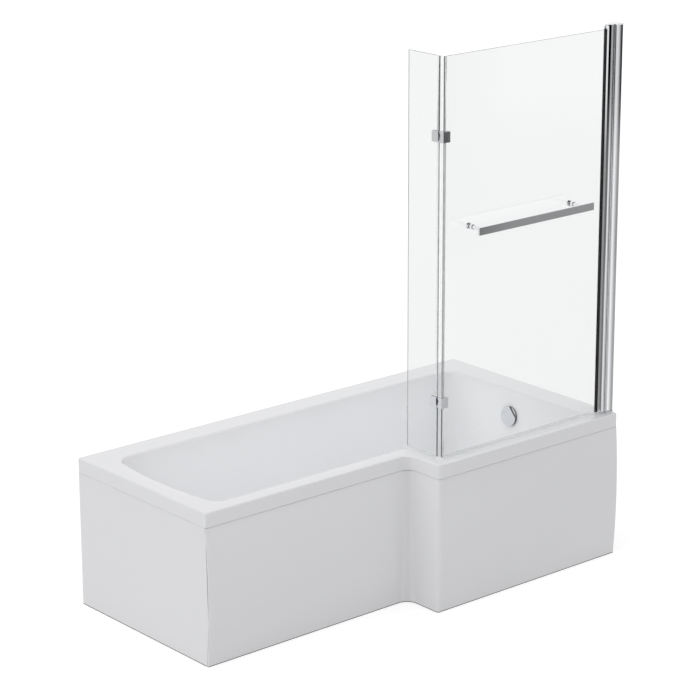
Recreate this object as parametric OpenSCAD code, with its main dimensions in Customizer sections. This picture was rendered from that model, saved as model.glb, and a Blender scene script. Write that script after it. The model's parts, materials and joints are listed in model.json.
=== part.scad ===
// L-shaped shower bath with a two-pane folding screen.
// Millimetres. +X runs from the bathing end to the wall at the shower end, -Y is the
// front where the bather steps in, +Z is up. The origin lies on the floor under the middle
// of the whole part, the towel rail included.

/* [Bath] */
// Length of the bath
bath_len = 1700; // [1600:10:1800]
// Width of the shower end
bath_w = 850; // [800:5:900]
// How far the front of the bathing end is set back
step_in = 150; // [130:5:170]
// Length of the wide shower end
wide_len = 845; // [820:5:880]
// Height of the rim above the floor
rim_h = 525; // [515:1:560]
// Height of the lip round the rim
lip_h = 50; // [44:1:60]
// Thickness of the acrylic with its backing
skin_t = 6; // [5:0.5:7]
// Radius of the rim's outer corners
corner_r = 9; // [8:0.5:16]
// Radius inside the step
notch_r = 38; // [30:1:50]
// Radius of the rim's outer edge
lip_edge_r = 4; // [2:0.5:5]

/* [Basin] */
// Depth of the basin below the rim
basin_depth = 400; // [380:1:410]
// Width of the rim along the front
front_rim = 61; // [56:1:70]
// Width of the rim along the back wall
back_rim = 100; // [85:1:110]
// Width of the rim at the bathing end
foot_rim = 68; // [60:1:85]
// Width of the rim at the shower end
tap_rim = 104; // [98:1:120]
// Radius of the basin's top edge
edge_r = 7; // [4:0.5:10]
// Corner radius of the basin at the rim
basin_r = 45; // [35:1:55]
// Radius of the basin's corner at the step
basin_notch_r = 58; // [50:1:65]
// Radius where the walls meet the basin floor
blend_r = 55; // [45:1:60]
// How far the end of the basin bows out at the bathing end
foot_bow = 26; // [10:1:30]
// Lean of the backrest, top to bottom
foot_lean = 150; // [120:5:180]
// Lean of the long walls
side_lean = 42; // [30:1:50]
// Lean of the wall with the overflow
tap_lean = 35; // [25:1:45]
// Fall of the basin floor towards the waste
floor_fall = 5; // [2:0.5:8]

/* [Carriage] */
// Thickness of the board under the floor
board_t = 15; // [12:1:18]
// Height of a cross rail
rail_h = 25; // [20:1:28]
// Width of a cross rail
rail_w = 40; // [36:1:50]
// Thickness of the rail's steel
rail_t = 2.5; // [2:0.5:3]
// Radius of a foot's threaded stud
stud_r = 6; // [5:0.5:6]
// Radius of a foot's pad
foot_r = 26; // [22:1:30]
// Depth of the timber stiffeners under the rim
batten_t = 18; // [15:1:22]
// Width of the timber stiffeners under the rim
batten_w = 34; // [28:1:36]

/* [Panels] */
// Thickness of the panels
panel_t = 4; // [3:0.5:5]
// How far the panels stand back from the lip
panel_set = 3; // [2:0.5:4]
// How far the front panel bows out at mid height
panel_bow = 10; // [0:1:14]
// Gap between the panels and the lip above
panel_gap = 1.5; // [1:0.5:3]
// Width of the turned-in foot of a panel
toe_w = 22; // [16:1:26]
// Height of the panel's tongue behind the lip
tongue_h = 16; // [12:1:20]

/* [Waste and overflow] */
// Distance of the waste from the wall at the shower end
waste_from_wall = 270; // [260:5:290]
// Distance of the waste from the back wall
waste_from_back = 425; // [400:5:450]
// Radius of the waste's chrome flange
flange_r = 35; // [33:0.5:38]
// Outer radius of the outlet tail
tail_r = 23.9; // [22:0.1:25]
// Lift of the plug
plug_lift = 12; // [8:0.5:13]
// Depth of the overflow's centre below the rim
overflow_drop = 94; // [85:1:105]
// Radius of the overflow's turning disc
knob_r = 36; // [33:0.5:40]
// Radius of the hose's bore
hose_r = 17.2; // [16:0.1:17.4]
// Depth of the hose's ribs
rib_d = 2.4; // [1.5:0.1:3]
// Radius of the cable's sheath
cable_r = 2.5; // [2:0.1:2.6]

/* [Screen] */
// Distance of the main pane's middle plane from the front edge
screen_set = 42; // [38:1:46]
// Distance of the return pane's middle plane from the step
return_set = 44; // [40:1:46]
// Height of the glass
glass_h = 1347; // [1200:1:1400]
// Thickness of the glass
glass_t = 6; // [5:0.5:8]
// Distance of the main pane's free edge from the step
main_edge = 49; // [48:0.5:54]
// Distance of the return pane's hinged edge from the front edge
return_edge = 58; // [57:0.5:62]
// Width of the return pane
return_w = 146; // [120:1:160]
// Height of the clear seal between glass and rim
seal_h = 8; // [6:0.5:10]
// Distance of the pivot post's axis from the wall
pivot_from_wall = 46; // [45:1:52]
// Radius of the pivot post
post_r = 15; // [13:0.5:15.5]
// Depth of the wall channel
channel_d = 36; // [32:1:36]
// Width of the wall channel
channel_w = 36; // [35:1:40]
// Wall of the aluminium profiles
profile_t = 2; // [1.5:0.5:2.5]
// Height of the post above the glass
post_over = 12; // [8:1:20]

/* [Hinges] */
// Distance of the upper hinge from the top of the glass
upper_hinge_drop = 262; // [200:1:320]
// Height of the lower hinge above the bottom of the glass
lower_hinge_rise = 190; // [150:1:260]
// Side of a square hinge plate
leaf_w = 30; // [26:1:32]
// Height of a hinge plate
leaf_h = 36; // [30:1:40]
// Thickness of a hinge plate
leaf_t = 4; // [3:0.5:5]
// Radius of the hinge barrel
barrel_r = 5; // [4.5:0.5:6]
// Radius of the hinge pin
hinge_pin_r = 2.5; // [2:0.1:3]

/* [Towel rail] */
// Length of the bar
bar_len = 527; // [450:1:560]
// Height of the bar
bar_h = 26; // [20:1:30]
// Thickness of the bar
bar_t = 9; // [7:0.5:12]
// Distance from the glass to the front of the bar
bar_reach = 75; // [65:1:85]
// Height of the bar's middle above the bottom of the glass
bar_rise = 772; // [700:1:900]
// Distance of the bar's end from the pivot axis
bar_from_pivot = 135; // [110:1:200]
// Distance of a post from the bar's end
post_inset = 32; // [20:1:60]
// Radius of a rail post
stem_r = 6.5; // [5:0.5:8]

/* [Hidden] */

$fn = 48;
// Segments of a moulded corner, and a small overlap that joins or clears solids
arc_n = 8;
eps = 0.01;
// Clearances: of a turning or sliding fit, between moving faces, and at a mitre
fit = 0.05;
run_gap = 0.3;
seat_gap = 0.5;

// ---- Plan of the bath ----
bar_front = bar_reach + glass_t / 2 - screen_set;
x_foot = -bath_len / 2;
x_wall = bath_len / 2;
y_back = (bath_w + bar_front) / 2;
y_wide = y_back - bath_w;
y_narrow = y_wide + step_in;
x_step = x_wall - wide_len;

// ---- Heights of the bath ----
z_lip = rim_h - lip_h;
z_floor = rim_h - basin_depth;
z_under = z_floor - skin_t;
z_batten = rim_h - skin_t - batten_t;

// ---- Basin: sides are foot, narrow front, step, wide front, wall, back ----
rim_e = [foot_rim, front_rim, front_rim, front_rim, tap_rim, back_rim];
lean_e = [foot_lean, side_lean, side_lean, side_lean, tap_lean, side_lean];
wall_depth = basin_depth - edge_r;
// Growth of the corner radii from rim to floor
corner_growth = 15;
notch_growth = 22;
// Length over which the bow of the foot end dies out
bow_reach = 300;
foot_points = 4;

// ---- Waste ----
waste_x = x_wall - waste_from_wall;
waste_y = y_back - waste_from_back;
flange_t = 2.5;
waste_gasket_t = 1;
low_gasket_t = 3;
recess_d = flange_t + waste_gasket_t;
waste_hole_r = 24;
thread_r = 23;
bore_r = 20;
z_pad = z_floor - recess_d - skin_t;
z_waste = z_pad - low_gasket_t;
waste_wall = 4;
neck_h = 16;
chamber_r = 26;
chamber_h = 37;
z_chamber = z_waste - neck_h - chamber_h;
tail_len = 27;
z_tail = z_chamber - waste_wall - tail_len;
outlet_r = 19;
stem_plug_r = 4;
plug_r = 30;
plug_t = 3;
plug_seal_t = 1.5;
boss_r = 8;
// Rocker under the plug: its swing lifts the stem by the plug's full lift
rocker_arm = 19;
rocker_swing = asin(plug_lift / 2 / rocker_arm);
rocker_z = z_chamber + 12.5;
rocker_tip_r = 2.5;
rocker_pin_r = 2;
rocker_hub_r = 4;
rocker_w = 10;
lug_t = 3;
crank_h = 10;
z_stem = rocker_z - rocker_arm * sin(rocker_swing) + rocker_tip_r + run_gap;

// ---- Overflow: its own axes stand on the inner face of the end wall ----
tap_tilt = atan(tap_lean / wall_depth);
z_overflow = rim_h - overflow_drop;
overflow_x = x_wall - tap_rim - tap_lean * (overflow_drop - edge_r) / wall_depth;
overflow_hole_r = 24;
overflow_gasket_t = 3;
bezel_r = 32;
bezel_t = 3;
knob_t = 8.6;
knob_plate = 6;
knob_step = 4;
knob_off = 2;
spindle_r = 4;
cup_r = 33;
cup_d = 42;
cup_wall = 3;
spindle_len = 36;
knob_crank = 14;
screw_out = 18;
lug_r = 4.5;
screw_end = -skin_t - overflow_gasket_t - 12;

// ---- Hose: down from the overflow, a quarter bend, along to the waste ----
hose_x = overflow_x + 34;
hose_top = z_overflow - 40;
hose_z = rocker_z + 6;
hose_bend = 95;
hose_wall = 1.8;
rib_pitch = 8;
spigot_r = hose_r * cos(180 / 8) - run_gap;
spigot_in = 20;
hose_end_x = waste_x + chamber_r + waste_wall + 6;

// ---- Cable: its route is chosen by hand, from the waste and then from the overflow ----
cable_boss_z = rocker_z + 9;
cable_boss_y = waste_y + chamber_r + waste_wall + 14;
cable_top_y = waste_y + 27;
cable_route = concat(
    [for (p = [[0, -8, 0], [0, 10, 0], [3, 20, 1], [13, 35, 3], [30, 44, 6], [60, 45, 9],
               [90, 41, 13], [120, 34, 19], [148, 24, 31]])
        [waste_x, cable_boss_y, cable_boss_z] + p],
    [for (p = [[-24, 30, -298], [-12, 19, -266], [-6, 10, -226], [-3, 5, -181], [0, 2, -131],
               [0, 0, -86], [0, 0, -34]])
        [hose_x, cable_top_y, z_overflow] + p]);

// ---- Screen ----
y_glass = y_wide + screen_set;
x_return = x_step + return_set;
x_pivot = x_wall - pivot_from_wall;
z_glass = rim_h + seal_h;
z_glass_top = z_glass + glass_h;
cap_t = 4;
z_post = rim_h + cap_t + run_gap;
z_post_top = z_glass_top + post_over;
z_cap = z_post_top + run_gap;
pivot_pin_r = 4.5;
pivot_pin_len = 14;
bush_r = 8;
bush_len = 20;
nose_w = 17;
nose_out = 21;
slot_in = 10.5;
gasket_t = 1.2;
gasket_lip = 5;
main_x0 = x_step + main_edge;
main_x1 = x_pivot - slot_in - 1;
return_y0 = y_wide + return_edge;
return_y1 = return_y0 + return_w;
seal_w = glass_t + 4;
seal_grip = 7;
seal_gap = 0.8;
bulb_r = 4;
main_seal_web = 2;
return_seal_web = return_edge - screen_set - 2 * bulb_r - seal_gap + 1 - bulb_r;
channel_hole_r = 2.5;
channel_hole_z = [rim_h + 100, rim_h + 685, rim_h + 1270];

// ---- Hinges ----
pad_t = 1;
leaf_out = glass_t / 2 + pad_t + leaf_t;
axis_set = leaf_out + barrel_r + seat_gap;
axis_x = x_return + axis_set;
axis_y = y_glass + axis_set;
hinge_z = [z_glass_top - upper_hinge_drop, z_glass + lower_hinge_rise];
leaf_over = 9;
knuckle_h = leaf_h / 3;
leaf_bolt_r = 3;
leaf_hole_r = 5;
head_r = 5;
head_t = 1.5;
bolt_in = leaf_out - 1.5;

// ---- Towel rail ----
bar_x1 = x_pivot - bar_from_pivot;
bar_x0 = bar_x1 - bar_len;
bar_y = y_glass - glass_t / 2 - bar_reach;
bar_z = z_glass + bar_rise;
post_x = [bar_x0 + post_inset, bar_x1 - post_inset];
collar_r = 9;
collar_t = 11;
washer_t = 1;
cap_r = 11;
cap_len = 10;
rail_hole_r = 6;
rail_bolt_r = 4;

// ---- Carriage ----
board_x = [x_foot + 290, waste_x - 80];
board_y = [y_narrow + 172, y_back - 208];
z_rail_top = z_under - board_t;
rail_x = [x_foot + 370, x_step - 45, x_wall - 420];
rail_y0 = [y_narrow + 82, y_narrow + 82, y_wide + 52];
rail_y1 = y_back - 118;
foot_inset = 25;
nut_r = 10;
nut_t = 6;
pad_h = 14;
socket_d = 10;
screw_r = 2;
screw_len = 14;
bracket_x = [x_foot + 400, x_foot + 1200];
bracket_w = 40;
bracket_t = 2.5;
bracket_drop = 48;
bracket_hole_r = 2.75;
bracket_hole_gap = 24;
tie_in = 20;
batten_set = 10;
panel_h = z_lip - panel_gap;
tongue_set = skin_t + 0.6;
floor_batten_h = 38;
floor_batten_w = 25;
wall_gap = 1;

// ---- Colours ----
acrylic = [0.90, 0.90, 0.91];
timber = [0.76, 0.62, 0.44];
steel = [0.62, 0.63, 0.65];
chrome = [0.78, 0.79, 0.81];
white_plastic = [0.88, 0.88, 0.86];
black_rubber = [0.08, 0.08, 0.08];
grey_plastic = [0.45, 0.46, 0.48];
clear_glass = [0.90, 0.96, 0.96, 0.35];
clear_seal = [0.93, 0.94, 0.95, 0.6];

// ---- Shared shapes ----

// A block between two corners
module block(x, y, z) {
    translate([x[0], y[0], z[0]]) cube([x[1] - x[0], y[1] - y[0], z[1] - z[0]]);
}

// Round bars along the three axes
module bar_up(p, r, z0, z1) {
    translate([p[0], p[1], z0]) cylinder(r = r, h = z1 - z0);
}
module bar_along_y(x, z, r, y0, y1) {
    translate([x, y0, z]) rotate([-90, 0, 0]) cylinder(r = r, h = y1 - y0);
}
module bar_along_x(y, z, r, x0, x1) {
    translate([x0, y, z]) rotate([0, 90, 0]) cylinder(r = r, h = x1 - x0);
}

// A tube standing on its end
module tube(r_out, r_in, z0, z1) {
    translate([0, 0, z0]) difference() {
        cylinder(r = r_out, h = z1 - z0);
        translate([0, 0, -1]) cylinder(r = r_in, h = z1 - z0 + 2);
    }
}

// A rectangle with round corners, centred
module round_rect(w, h, r) {
    square([w - 2 * r, h], center = true);
    square([w, h - 2 * r], center = true);
    for (i = [-1, 1], j = [-1, 1]) translate([i * (w / 2 - r), j * (h / 2 - r)]) circle(r = r);
}

// A closed skin over a stack of rings, each with the same number of points
// and turning anticlockwise about the direction of the stack; its ends are one face
// each, or the faces in end, lists of a ring's points
module skin(rings, closed = false, end = []) {
    n = len(rings[0]);
    m = len(rings);
    last = closed ? m - 1 : m - 2;
    sides = [for (i = [0:last], j = [0:n - 1])
        let (a = i * n + j, b = i * n + (j + 1) % n,
             c = ((i + 1) % m) * n + (j + 1) % n, d = ((i + 1) % m) * n + j)
        each [[a, d, c], [a, c, b]]];
    caps = closed ? [] : [for (f = len(end) > 0 ? end : [[for (j = [0:n - 1]) j]])
        each [f, [for (k = [len(f) - 1:-1:0]) (m - 1) * n + f[k]]]];
    polyhedron(points = [for (r = rings) each r], faces = concat(sides, caps), convexity = 10);
}

function all_sides(v) = [v, v, v, v, v, v];
function arc(cx, cy, r, a0, a1) =
    [for (i = [0:arc_n]) let (a = a0 + (a1 - a0) * i / arc_n) [cx + r * cos(a), cy + r * sin(a)]];

// ---- Bath shell ----

// Plan of the bath drawn in by e on its six sides, with convex corners of radius r
// and a hollow corner of radius rn at the step, which the step's length limits
function outline(e, r, rn) =
    let (x0 = x_foot + e[0], x1 = x_step + e[2], x2 = x_wall - e[4],
         y0 = y_wide + e[3], y1 = y_narrow + e[1], y2 = y_back - e[5],
         rh = min(rn, y1 - y0 - r - 2))
    concat(arc(x0 + r, y1 + r, r, 180, 270), arc(x1 - rh, y1 - rh, rh, 90, 0),
           arc(x1 + r, y0 + r, r, 180, 270), arc(x2 - r, y0 + r, r, 270, 360),
           arc(x2 - r, y2 - r, r, 0, 90), arc(x0 + r, y2 - r, r, 90, 180),
           [for (i = [1:foot_points])
               [x0, y2 - r + (y1 - y2 + 2 * r) * i / (foot_points + 1)]]);

// The foot end bows out between its corners
function bowed(p, e, bow) =
    let (mid = (y_narrow + e[1] + y_back - e[5]) / 2,
         half = (y_back - e[5] - y_narrow - e[1]) / 2, s = (p[1] - mid) / half,
         w = max(0, 1 - (p[0] - x_foot - e[0]) / bow_reach))
    [p[0] + bow * s * s * w, p[1]];
function floor_rise(x) = floor_fall * (waste_x - x) / (waste_x - x_foot);
function ring(e, r, rn, z, bow = 0, fall = 0) =
    [for (p = outline(e, r, rn)) let (q = bowed(p, e, bow)) [q[0], q[1], z + fall * floor_rise(q[0])]];

// Basin wall at depth d below the rim, thickened outwards by t
function wall_share(d) = (d - edge_r) / wall_depth;
function wall_ring(d, t = 0) =
    ring(rim_e + lean_e * wall_share(d) - all_sides(t), basin_r + corner_growth * wall_share(d) + t,
         basin_notch_r + notch_growth * wall_share(d) - t, rim_h - d, foot_bow);

// Roll of the basin's top edge, a from 0 on the rim to 90 on the wall
function roll_ring(a) =
    let (u = edge_r * (1 - sin(a)))
    ring(rim_e - all_sides(u), basin_r + u, basin_notch_r - u, rim_h - edge_r * (1 - cos(a)), foot_bow);

// Blend of wall and floor, a from 0 on the wall to 90 on the floor
function blend_ring(a, t = 0) =
    let (s = wall_share(basin_depth - blend_r), u = blend_r * (1 - cos(a)))
    ring(rim_e + lean_e * s + all_sides(u - t * cos(a)),
         basin_r + corner_growth * s - 0.6 * u + t * cos(a),
         basin_notch_r + notch_growth * s + u - t * cos(a),
         z_floor + blend_r - (blend_r + t) * sin(a), foot_bow, t > 0 ? 0 : 1 - cos(a));

// Skirt and rim edge, drawn in by u
function edge_ring(u, z) = ring(all_sides(u), max(corner_r - u, 1), notch_r + u, z);

// Floor as a fan from the back corner at the tap wall, which all of the plan can be seen from
function floor_fan() =
    let (hub = 4 * (arc_n + 1) + arc_n / 2, n = 6 * (arc_n + 1) + foot_points)
    [for (k = [1:n - 2]) [hub, (hub + k) % n, (hub + k + 1) % n]];

module bath_shell() {
    color(acrylic) difference() {
        union() {
            skin(concat(
                [for (a = [90:-18:0]) blend_ring(a, skin_t)],
                [wall_ring(skin_t + 20, skin_t)],
                [ring(rim_e - all_sides(skin_t), basin_r + skin_t, basin_notch_r - skin_t,
                      rim_h - skin_t, foot_bow)],
                [edge_ring(skin_t, rim_h - skin_t), edge_ring(skin_t, z_lip),
                 edge_ring(1, z_lip), edge_ring(0, z_lip + 1)],
                [for (a = [0:30:90])
                    edge_ring(lip_edge_r * (1 - cos(a)), rim_h - lip_edge_r * (1 - sin(a)))],
                [for (a = [0:22.5:90]) roll_ring(a)],
                [wall_ring(basin_depth / 2)],
                [for (a = [0:15:90]) blend_ring(a)]), end = floor_fan());
            translate([waste_x, waste_y, z_pad])
                cylinder(r = flange_r + skin_t, h = skin_t);
        }
        translate([waste_x, waste_y, z_floor - recess_d])
            cylinder(r = flange_r + 0.5, h = 20);
        translate([waste_x, waste_y, z_pad - 1]) cylinder(r = waste_hole_r, h = 20);
        on_tap_wall() translate([0, 0, -skin_t - 5])
            cylinder(r = overflow_hole_r, h = skin_t + 10);
    }
}

// ---- Carriage ----

module base_board() {
    color(timber) difference() {
        block(board_x, board_y, [z_rail_top, z_under]);
        for (i = [0:2], y = screw_y(i))
            bar_up([rail_x[i], y], screw_r, z_rail_top - 1, z_rail_top - rail_t + screw_len + 0.5);
    }
}

// Stiffeners under the four open sides of the rim
module rim_battens() {
    in0 = batten_set;
    in1 = batten_set + batten_w;
    z = [z_batten, rim_h - skin_t];
    color(timber) {
        block([x_foot + 60, x_step - notch_r - 20], [y_narrow + in0, y_narrow + in1], z);
        block([x_step + 60, x_wall - 60], [y_wide + in0, y_wide + in1], z);
        block([x_foot + 60, x_wall - 60], [y_back - in1, y_back - in0], z);
        block([x_foot + in0, x_foot + in1], [y_narrow + 60, y_back - 60], z);
    }
}

// Inverted channel with a hole for each foot
module leg_rail(i) {
    x = rail_x[i];
    color(steel) difference() {
        block([x - rail_w / 2, x + rail_w / 2], [rail_y0[i], rail_y1],
              [z_rail_top - rail_h, z_rail_top]);
        block([x - rail_w / 2 + rail_t, x + rail_w / 2 - rail_t],
              [rail_y0[i] - 1, rail_y1 + 1], [z_rail_top - rail_h - 1, z_rail_top - rail_t]);
        for (y = foot_y(i)) bar_up([x, y], stud_r + fit, z_rail_top - rail_h, z_rail_top + 1);
        for (y = screw_y(i)) bar_up([x, y], screw_r + fit, z_rail_top - rail_h, z_rail_top + 1);
    }
}
function foot_y(i) = [rail_y0[i] + foot_inset, rail_y1 - foot_inset];
function screw_y(i) = [board_y[0] + 40, board_y[1] - 40];

// Screws up through the rails into the board
module leg_screws() {
    color(steel) for (i = [0:2], y = screw_y(i)) {
        bar_up([rail_x[i], y], screw_r, z_rail_top - rail_t - 2, z_rail_top - rail_t + screw_len);
        bar_up([rail_x[i], y], 2 * screw_r, z_rail_top - rail_t - 3, z_rail_top - rail_t);
    }
}

module foot_studs() {
    color(steel) for (i = [0:2], y = foot_y(i))
        bar_up([rail_x[i], y], stud_r, pad_h - socket_d, z_rail_top + nut_t + 6);
}

// A nut above and below each rail
module foot_nuts() {
    color(steel) for (i = [0:2], y = foot_y(i), z = [z_rail_top, z_rail_top - rail_t - nut_t])
        translate([rail_x[i], y, z]) difference() {
            cylinder(r = nut_r, h = nut_t, $fn = 6);
            translate([0, 0, -1]) cylinder(r = stud_r + fit, h = nut_t + 2);
        }
}

module foot_pads() {
    color(grey_plastic) for (i = [0:2], y = foot_y(i)) translate([rail_x[i], y, 0])
        rotate_extrude() polygon([[0, 0], [foot_r, 0], [foot_r, 4], [stud_r + 5, pad_h],
            [stud_r + fit, pad_h], [stud_r + fit, pad_h - socket_d], [0, pad_h - socket_d]]);
}

// Steel angles: one leg on the wall below the lip, one up behind it to the stiffener
module wall_brackets() {
    w = bracket_w;
    color(steel) for (x = bracket_x) difference() {
        union() {
            block([x - w / 2, x + w / 2], [y_back - bracket_t, y_back], [z_lip - bracket_drop, z_lip - 1]);
            block([x - w / 2, x + w / 2], [y_back - tie_in, y_back],
                  [z_lip - 1 - bracket_t, z_lip - 1]);
            block([x - w / 2, x + w / 2], [y_back - tie_in, y_back - tie_in + bracket_t],
                  [z_lip - 1 - bracket_t, z_batten]);
        }
        for (k = [0, 1])
            bar_along_y(x, z_lip - bracket_drop + 12 + k * bracket_hole_gap, bracket_hole_r,
                        y_back - bracket_t - 1, y_back + 1);
    }
}

// ---- Panels ----

// Section of a panel, inset from the lip's face against height: a face that bows out,
// a tongue behind the lip and a turned-in foot; where it is cut short for a corner, a stub
// of each is left
bow_n = 8;
function panel_face(z, bow) = panel_set - 4 * bow * z / panel_h * (1 - z / panel_h);
function panel_section(bow, short = false) =
    let (toe = short ? panel_set + panel_t + 1 : toe_w,
         top = panel_h + (short ? 0.5 : tongue_h))
    concat([[toe, 0], [toe, panel_t]],
        [for (k = [0:bow_n]) let (z = panel_t + (panel_h - 2 * panel_t) * k / bow_n)
            [panel_face(z, bow) + panel_t, z]],
        [[tongue_set + panel_t, panel_h - panel_t], [tongue_set + panel_t, top],
         [tongue_set, top], [tongue_set, panel_h]],
        [for (k = [bow_n:-1:0]) let (z = panel_h * k / bow_n) [panel_face(z, bow), z]]);

// End of a panel: foot, tongue and face
function panel_end() = concat([[0, 1, 2, 2 * bow_n + 7]],
    [[bow_n + 2, bow_n + 3, bow_n + 6, bow_n + 7], [bow_n + 3, bow_n + 4, bow_n + 5, bow_n + 6]],
    [for (k = [0:bow_n - 1]) [k + 2, k + 3, 2 * bow_n + 6 - k, 2 * bow_n + 7 - k]]);

// Plan of the front panel at inset o, from the bathing end to the wall, with two
// stations at either end between which foot and tongue are cut short
function front_path(o) =
    let (r = max(corner_r - o, 2))
    concat([for (x = [panel_set, toe_w + 1, toe_w + 2]) [x_foot + x, y_narrow + o]],
           arc(x_step - notch_r, y_narrow - notch_r, notch_r + o, 90, 0),
           arc(x_step + o + r, y_wide + o + r, r, 180, 270),
           [for (x = [skin_t + 2, skin_t + 1, wall_gap]) [x_wall - x, y_wide + o]]);

module front_panel() {
    last = 2 * arc_n + 7;
    full = panel_section(panel_bow);
    short = panel_section(panel_bow, true);
    color(acrylic) skin([for (j = [0:last])
        [for (s = j < 2 || j > last - 2 ? short : full)
            let (p = front_path(s[0])[j]) [p[0], p[1], s[1]]]], end = panel_end());
}

module end_panel() {
    n = 12;
    z_0 = panel_t + seat_gap;
    toe = panel_set + panel_t + 1 + seat_gap;
    tongue = tongue_set + panel_t + seat_gap;
    color(acrylic) difference() {
        translate([x_foot, y_back - wall_gap, 0]) rotate([90, 0, 0])
            linear_extrude(y_back - wall_gap - y_narrow - panel_set) polygon(panel_section(0));
        // the front edge follows the back of the bowed front panel, its foot and its tongue
        translate([x_foot - 5, y_narrow, 0]) rotate([90, 0, 90]) linear_extrude(toe_w + 10)
            polygon(concat([[-20, -1], [toe, -1], [toe, z_0]],
                [for (k = [0:n]) let (z = z_0 + (panel_h - 2 * z_0) * k / n)
                    [panel_face(z, panel_bow) + panel_t + seat_gap, z]],
                [[tongue, panel_h - z_0], [tongue, rim_h], [-20, rim_h]]));
        // room for the lip at the back wall
        block([x_foot - 1, x_foot + 40], [y_back - skin_t - wall_gap, y_back + 1],
              [panel_h, rim_h]);
    }
}

// Spring angles on the stiffeners, behind the panels' tongues
clip_w = 25;
clip_t = 1.5;
function clip_at() = tongue_set + panel_t + run_gap;
module clip(len_in) {
    block([-clip_w / 2, clip_w / 2], [clip_at(), clip_at() + clip_t], [panel_h, z_batten]);
    block([-clip_w / 2, clip_w / 2], [clip_at(), clip_at() + len_in], [z_batten - clip_t, z_batten]);
}
module panel_clips() {
    color(steel) {
        for (x = [x_foot + 150, x_foot + 450, x_foot + 720]) translate([x, y_narrow, 0]) clip(22);
        for (x = [x_step + 150, x_step + 440, x_wall - 130]) translate([x, y_wide, 0]) clip(22);
        for (y = [y_narrow + 180, y_back - 180])
            translate([x_foot, y, 0]) rotate([0, 0, -90]) clip(22);
    }
}

// Timbers fixed to the floor, against the turned-in feet of the panels
module floor_battens() {
    a = toe_w;
    b = toe_w + floor_batten_w;
    z = [0, floor_batten_h];
    color(timber) {
        block([x_foot + 60, x_step - notch_r - 10], [y_narrow + a, y_narrow + b], z);
        block([x_step + 60, x_wall - 60], [y_wide + a, y_wide + b], z);
        block([x_foot + a, x_foot + b], [y_narrow + 80, y_back - 60], z);
    }
}

// ---- Waste ----

module at_waste() {
    translate([waste_x, waste_y, 0]) children();
}

// Chrome flange with its threaded tail and the cross that guides the plug
module waste_flange() {
    spider_z = z_floor - 22;
    color(chrome) at_waste() difference() {
        union() {
            rotate_extrude() polygon([[flange_r, z_floor - flange_t], [flange_r, z_floor - 1],
                [flange_r - 1, z_floor], [thread_r + 0.5, z_floor], [bore_r, z_floor - 3.5],
                [bore_r, z_waste - neck_h], [thread_r, z_waste - neck_h],
                [thread_r, z_floor - flange_t]]);
            for (a = [0, 90]) rotate([0, 0, a])
                block([-bore_r - 1, bore_r + 1], [-2, 2], [spider_z, spider_z + 5]);
            translate([0, 0, spider_z]) cylinder(r = boss_r, h = 9);
        }
        translate([0, 0, spider_z - 1]) cylinder(r = stem_plug_r + fit, h = 12);
    }
}

// Thin washer above the floor, thick one below it
module waste_gaskets() {
    color(black_rubber) at_waste() {
        tube(flange_r - 0.5, waste_hole_r - 0.5, z_floor - recess_d, z_floor - flange_t);
        tube(flange_r + 3, waste_hole_r - 0.5, z_pad - low_gasket_t, z_pad);
    }
}

// Housing under the floor: neck, chamber, outlet tail, hose inlet and cable boss
module waste_body() {
    out_r = chamber_r + waste_wall;
    lug_x = rocker_w / 2 + fit;
    color(grey_plastic) at_waste() difference() {
        union() {
            translate([0, 0, z_chamber - waste_wall])
                cylinder(r = out_r, h = z_waste - z_chamber + waste_wall);
            translate([0, 0, z_waste - 4]) cylinder(r = flange_r + 4, h = 4);
            translate([0, 0, z_tail]) cylinder(r = tail_r, h = tail_len + 1);
            bar_along_x(0, hose_z, spigot_r, chamber_r, hose_end_x - waste_x + spigot_in);
            bar_along_y(0, cable_boss_z, cable_r + 3, chamber_r, cable_boss_y - waste_y);
        }
        difference() {
            translate([0, 0, z_chamber]) cylinder(r = chamber_r, h = chamber_h);
            for (s = [-1, 1]) block(
                s > 0 ? [lug_x, lug_x + lug_t] : [-lug_x - lug_t, -lug_x],
                [rocker_arm - rocker_hub_r, out_r], [z_chamber - 1, rocker_z + rocker_hub_r]);
        }
        translate([0, 0, z_waste - neck_h - 1]) cylinder(r = thread_r + fit, h = neck_h + 2);
        translate([0, 0, z_tail - 1]) cylinder(r = outlet_r, h = tail_len + waste_wall + 2);
        bar_along_x(0, hose_z, spigot_r - 2.5, chamber_r - 3, hose_end_x - waste_x + spigot_in + 1);
        bar_along_y(0, cable_boss_z, cable_r + fit, chamber_r + 4, cable_boss_y - waste_y + 1);
        bar_along_y(0, cable_boss_z, 1.2, chamber_r - 3, out_r);
        bar_along_x(rocker_arm, rocker_z, rocker_pin_r + fit, -lug_x - lug_t - 1, lug_x + lug_t + 1);
    }
}

// Mushroom plug with its stem
module waste_plug() {
    z = z_floor + plug_seal_t;
    color(chrome) at_waste() rotate_extrude() polygon(concat(
        [for (a = [0:15:90]) [stem_plug_r * sin(a), z_stem + stem_plug_r * (1 - cos(a))]],
        [[stem_plug_r, z - 9], [bore_r - 6, z - 8], [bore_r - 3, z - 4], [bore_r - 3, z],
         [plug_r, z], [plug_r, z + plug_t - 1], [plug_r - 1, z + plug_t],
         [plug_r - 10, z + plug_t + 1.6], [10, z + plug_t + 2.6], [0, z + plug_t + 3]]));
}

module plug_seal() {
    color(black_rubber) at_waste() tube(plug_r - 2, thread_r + 1, z_floor, z_floor + plug_seal_t);
}

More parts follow.
